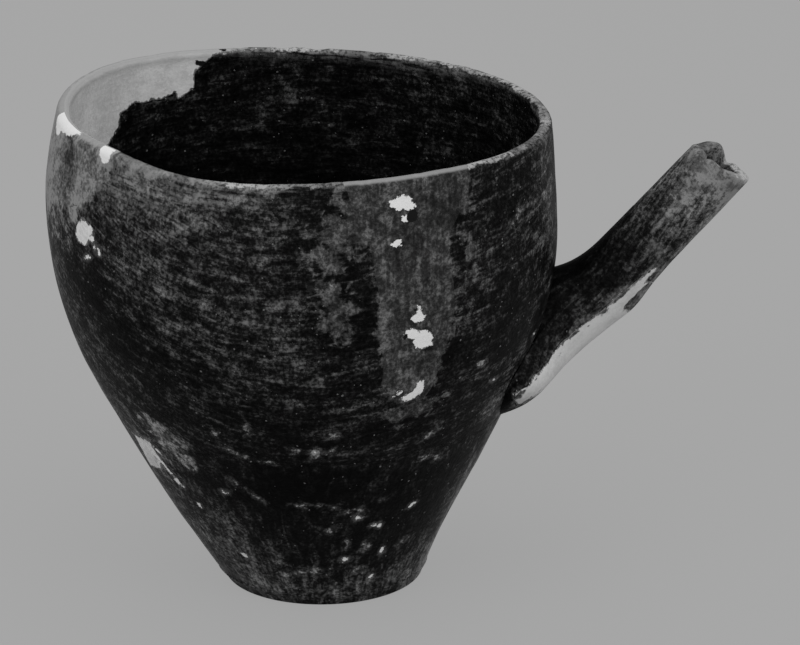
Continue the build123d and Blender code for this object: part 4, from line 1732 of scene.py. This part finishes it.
@dataclass(frozen=True)
class Clay:
    """Smoke-blackened clay: burnishing streaks, specks, a worn lip and plaster smears."""

    name: str
    greys: Stops
    rough: float
    crest_grey: float = 0.23
    worn_grey: float = 0.115
    plaster_grey: float = 0.58
    fleck_share: float = 0.5
    brushed: float = 0.14
    relief: float = 0.12
    weights: Weights = (("Streaks", 0.27), ("Clouds", 0.12), ("Patches", 0.20), ("Specks", 0.24))

    def material(self, effects: Effects) -> bpy.types.Material:
        """Makes the finish.

        The lightness sums tone, streaks, clouds, patches and specks, and a ramp turns it into
        grey. Over it come grey paint, the worn lip, the flecks, scuffs, white chips and pits,
        whose near black is painted shade.
        """
        material, graph, place = new_material(self.name)
        grain = graph.group(effects.grain, {"Strokes": graph.mark("strokes", "Vector"), "Place": place})
        light = graph.mark("tone")
        for name, weight in self.weights:
            light = graph.sway(grain[name], weight, light)
        colour = graph.ramp(light, self.greys)
        painted = graph.sway(grain["Patches"], 0.7, graph.mark("paint"))
        painted = graph.span(graph.sway(grain["Streaks"], 0.4, painted), 0.35, 0.75)
        paint = Toning(self.brushed).colour(graph, grain, brush_marks(graph, place))
        colour = graph.mix(painted, colour, paint)
        below = graph.mark("lip")
        spread = graph.vector("MULTIPLY", place, (90.0, 90.0, 0.0))
        lines = graph.vector("ADD", spread, graph.add("ShaderNodeCombineXYZ", {2: below}).outputs[0])
        lines = graph.span(graph.noise(lines, 0.8, 2.0, 0.6, 0.2), 0.36, 0.58)
        worn = graph.span(graph.math("SUBTRACT", graph.mark("worn"), below), -3.5, 3.5)
        worn = graph.math("MULTIPLY", worn, lines)
        pale = graph.mix(grain["Patches"], grey(self.worn_grey * 0.5), grey(self.worn_grey * 1.5))
        rubbed = graph.math("MULTIPLY", worn, graph.span(grain["Specks"], 0.0, 0.6, 0.35, 1.0))
        colour = graph.mix(rubbed, colour, pale)
        crest = graph.span(graph.sway(grain["Patches"], 1.2, below), 0.85, 0.25)
        crest = graph.math("MULTIPLY", crest, graph.span(grain["Specks"], 0.0, 0.6, 0.30, 1.0))
        crest = graph.math("MULTIPLY", crest, graph.span(grain["Clouds"], 0.15, 0.65, 0.60, 1.0))
        pale = graph.mix(grain["Clouds"], grey(self.crest_grey * 0.5), grey(self.crest_grey * 1.4))
        colour = graph.mix(crest, colour, pale)
        worn = graph.math("MAXIMUM", worn, crest)
        dots = graph.group(effects.flecks, {"Place": place, "Spread": 560.0, "Share": self.fleck_share})
        colour = graph.mix(graph.math("MULTIPLY", dots[0], 0.6), colour, grey(0.16))
        scuff = effects.spots(graph, graph.mark("scuffs"), place, (0.9, 520.0, 1.4))
        scuffed = graph.math("MULTIPLY_ADD", graph.span(grain["Patches"], 0.20, 0.70), 0.8, 0.1)
        cover = graph.math("MULTIPLY", scuff["Fringe"], 0.16)
        cover = graph.math("MULTIPLY_ADD", scuff["Inside"], 0.62, cover)
        scuffed = graph.math("MULTIPLY", scuffed, cover)
        colour = graph.mix(scuffed, colour, graph.mix(grain["Specks"], grey(0.10), grey(0.34)))
        chip = effects.spots(graph, graph.mark("chips"), place, (0.7, 620.0, 1.2))
        colour = graph.mix(graph.math("MULTIPLY", chip["Fringe"], 0.35), colour, grey(0.14))
        colour = graph.mix(chip["Inside"], colour, grey(self.plaster_grey))
        # Pits are painted near black: painted shade in holes that the mesh has only as a shallow bump.
        pit = effects.spots(graph, graph.mark("pits"), place, (0.4, 620.0, 1.0))
        colour = graph.mix(pit["Inside"], colour, grey(0.003))
        matt = graph.math("MAXIMUM", graph.math("MAXIMUM", worn, painted), chip["Fringe"])
        rough = graph.math("MULTIPLY_ADD", matt, 0.85 - self.rough, self.rough)
        rough = graph.math("MULTIPLY_ADD", grain["Streaks"], 0.12, rough)
        height = graph.math("MULTIPLY", grain["Specks"], 0.22)
        height = graph.math("MULTIPLY_ADD", grain["Streaks"], 0.5, height)
        height = graph.math("MULTIPLY_ADD", grain["Patches"], 0.3, height)
        height = graph.math("MULTIPLY_ADD", chip["Inside"], -1.2, height)
        height = graph.math("MULTIPLY_ADD", pit["Inside"], -2.0, height)
        close_material(graph, colour, rough, height, self.relief, 0.03)
        return material


@dataclass(frozen=True)
class Plaster:
    """Set plaster, bare or under grey paint, stained near its border, greyed by handling near the lip, and
    greyed as painted shade on the spout's skim.
    """

    name: str
    dark: float
    light: float
    painted: float
    brushed: float
    chip_grey: float = 0.57
    soil_and_shade_grey: float = 0.26
    crest_grey: float = 0.25
    relief: float = 0.10

    def material(self, effects: Effects) -> bpy.types.Material:
        """Makes the finish.

        Clouds, scrape marks and specks vary the grey between dark and light. Grey paint
        covers it, white chips and dark pits show through, and the border takes clay's stain.
        The pits' near black is painted shade.
        """
        material, graph, place = new_material(self.name)
        grain = graph.group(effects.grain, {"Strokes": graph.mark("strokes", "Vector"), "Place": place})
        level = graph.math("MULTIPLY", grain["Specks"], 0.18)
        level = graph.math("MULTIPLY_ADD", grain["Clouds"], 0.45, level)
        level = graph.math("MULTIPLY_ADD", grain["Streaks"], 0.20, level)
        level = graph.math("MULTIPLY_ADD", grain["Patches"], 0.20, level)
        colour = graph.mix(graph.span(level, 0.1, 0.9), grey(self.dark), grey(self.light))
        # Grey from handling near the lip, and painted shade on the spout's skim under the spout.
        colour = graph.mix(graph.mark("soil_and_shade"), colour, grey(self.soil_and_shade_grey))
        covered = graph.sway(grain["Patches"], 0.5, graph.mark("paint"))
        covered = graph.span(graph.math("ADD", covered, self.painted), 0.35, 0.65)
        paint = Toning(self.brushed).colour(graph, grain, brush_marks(graph, place))
        colour = graph.mix(covered, colour, paint)
        depth = graph.math("SUBTRACT", graph.mark("edge"), 0.5)
        rim = effects.spots(graph, depth, place, (0.8, 520.0, 1.0))
        stained = graph.math("SUBTRACT", 1.0, rim["Inside"])
        stain = graph.mix(grain["Specks"], grey(0.008), grey(0.075))
        bare = graph.math("SUBTRACT", 1.0, covered)
        colour = graph.mix(graph.math("MULTIPLY", graph.math("MULTIPLY", stained, 0.88), bare), colour, stain)
        crest = graph.math("MULTIPLY", graph.span(graph.mark("lip"), 1.0, 0.3), 0.75)
        colour = graph.mix(crest, colour, grey(self.crest_grey))
        chip = effects.spots(graph, graph.mark("chips"), place, (0.7, 620.0, 0.8))
        colour = graph.mix(chip["Inside"], colour, grey(self.chip_grey))
        # Pits are painted near black: painted shade in holes that the mesh has only as a shallow bump.
        pit = effects.spots(graph, graph.mark("pits"), place, (0.4, 620.0, 1.0))
        colour = graph.mix(pit["Inside"], colour, grey(0.006))
        height = graph.math("MULTIPLY", grain["Specks"], 0.4)
        height = graph.math("MULTIPLY_ADD", grain["Patches"], 0.6, height)
        height = graph.math("MULTIPLY_ADD", chip["Inside"], -0.8, height)
        height = graph.math("MULTIPLY_ADD", pit["Inside"], -2.5, height)
        close_material(graph, colour, 0.85, height, self.relief, 0.08)
        return material


def make_finishes() -> None:
    """Makes one material for each slot of the record, named for it."""
    effects = Effects.make()
    dark = (
        (0.08, 0.0008), (0.30, 0.0026), (0.44, 0.0062), (0.54, 0.015), (0.66, 0.040), (0.80, 0.090),
        (0.94, 0.18),
    )
    matt = ((0.10, 0.0010), (0.32, 0.0030), (0.46, 0.0070), (0.56, 0.015), (0.70, 0.040), (0.90, 0.09))
    Clay("burnished_clay", dark, 0.44).material(effects)
    Clay("luting_clay", matt, 0.58, fleck_share=0.12).material(effects)
    Plaster("bare_plaster", 0.42, 0.58, 0.0, 0.05).material(effects)
    Plaster("toned_plaster", 0.30, 0.45, 1.0, 0.20).material(effects)


# The studio

@dataclass(frozen=True)
class Lamp:
    """A square soft lamp: its name, its place and edge in metres, and its power in watts."""

    name: str
    place: Triple
    size: float
    power: float


@dataclass(frozen=True)
class Studio:
    """A pale floor, soft lamps and the photograph's camera, in metres and degrees."""

    room_grey: float = 0.38
    floor_grey: float = 0.36
    shadow_share: float = 0.16
    floor_size: float = 12.0
    target: Triple = (0.02497, 0.0, 0.08303)
    distance: float = 1.4
    elevation: float = 19.2
    roll: float = 0.5
    lens: float = 200.0
    sensor: float = 36.0
    ambient: float = 0.88
    far: float = 100.0
    floor_rough: float = 0.95
    lamps: tuple[Lamp, ...] = (
        Lamp("left_lamp", (-1.2, -1.3, 1.1), 1.2, 10.0),
        Lamp("right_lamp", (1.4, -1.3, 0.8), 1.2, 13.0),
        Lamp("top_lamp", (0.0, -0.2, 1.8), 1.4, 6.0),
    )

    def camera(self) -> None:
        """Sets the camera: it looks along +Y and down, and is rolled so that +X rises a little."""
        down, roll = math.radians(self.elevation), math.radians(self.roll)
        ahead = Vector((0.0, math.cos(down), -math.sin(down)))
        right = Vector((1.0, 0.0, 0.0))
        upper = right.cross(ahead)
        turned = right * math.cos(roll) - upper * math.sin(roll)
        raised = upper * math.cos(roll) + right * math.sin(roll)
        data = bpy.data.cameras.new("studio_camera")
        data.lens, data.sensor_width, data.sensor_fit = self.lens, self.sensor, "HORIZONTAL"
        data.clip_end = self.far
        camera = bpy.data.objects.new("studio_camera", data)
        place = Vector(self.target) - ahead * self.distance
        facing = Matrix((turned, raised, -ahead)).transposed().to_4x4()
        camera.matrix_world = Matrix.Translation(place) @ facing
        bpy.context.scene.collection.objects.link(camera)
        bpy.context.scene.camera = camera

    def floor(self) -> None:
        """Lays the plain floor."""
        half = self.floor_size / 2
        mesh = bpy.data.meshes.new("floor")
        corners = [(-half, -half, 0), (half, -half, 0), (half, half, 0), (-half, half, 0)]
        mesh.from_pydata(corners, [], [(0, 1, 2, 3)])
        material, graph, _ = new_material("floor_paper")
        paper = graph.add(
            "ShaderNodeBsdfPrincipled",
            {"Base Color": grey(self.floor_grey), "Roughness": self.floor_rough, "Specular IOR Level": 0.0},
        )
        plain = graph.add("ShaderNodeEmission", {"Color": grey(self.room_grey), "Strength": 1.0})
        share = graph.math("MULTIPLY", self.seen(graph), 1.0 - self.shadow_share)
        shader = graph.add("ShaderNodeMixShader", {0: share, 1: paper.outputs[0], 2: plain.outputs[0]})
        graph.add("ShaderNodeOutputMaterial", {"Surface": shader.outputs[0]})
        mesh.materials.append(material)
        floor = bpy.data.objects.new("floor", mesh)
        bpy.context.scene.collection.objects.link(floor)

    def hang(self, lamp: Lamp) -> None:
        """Hangs a lamp that looks at the cup."""
        data = bpy.data.lights.new(lamp.name, "AREA")
        data.shape, data.size, data.energy = "SQUARE", lamp.size, lamp.power
        made = bpy.data.objects.new(lamp.name, data)
        facing = (Vector(self.target) - Vector(lamp.place)).to_track_quat("-Z", "Y").to_matrix().to_4x4()
        made.matrix_world = Matrix.Translation(lamp.place) @ facing
        bpy.context.scene.collection.objects.link(made)

    @staticmethod
    def seen(graph: Graph) -> Socket:
        """Gives 1 for rays that show the room itself, and 0 for those that gather its light."""
        rays = graph.add("ShaderNodeLightPath", {}).outputs
        direct = graph.math("MAXIMUM", rays["Is Camera Ray"], rays["Is Glossy Ray"])
        return graph.math("MAXIMUM", direct, rays["Is Transmission Ray"])

    def world(self) -> None:
        """Lights the room evenly, and shows the camera its plain grey."""
        world = bpy.data.worlds.new("room")
        world.use_nodes = True
        graph = Graph(world.node_tree)
        colour = graph.mix(self.seen(graph), grey(self.ambient), grey(self.room_grey))
        room = graph.add("ShaderNodeBackground", {"Color": colour, "Strength": 1.0})
        graph.add("ShaderNodeOutputWorld", {"Surface": room.outputs[0]})
        bpy.context.scene.world = world

    def build(self) -> None:
        """Sets up the whole studio."""
        scene = bpy.context.scene
        scene.view_settings.view_transform = "Standard"
        self.camera()
        self.floor()
        self.world()
        for lamp in self.lamps:
            self.hang(lamp)


def main() -> None:
    """Builds the cup and the studio."""
    logging.basicConfig(level=logging.INFO, format="%(name)s: %(message)s")
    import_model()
    make_finishes()
    wall = Wall()
    spout = Spout(wall)
    wall.build(spout)
    spout.build()
    Studio().build()


if __name__ == "__main__":
    main()
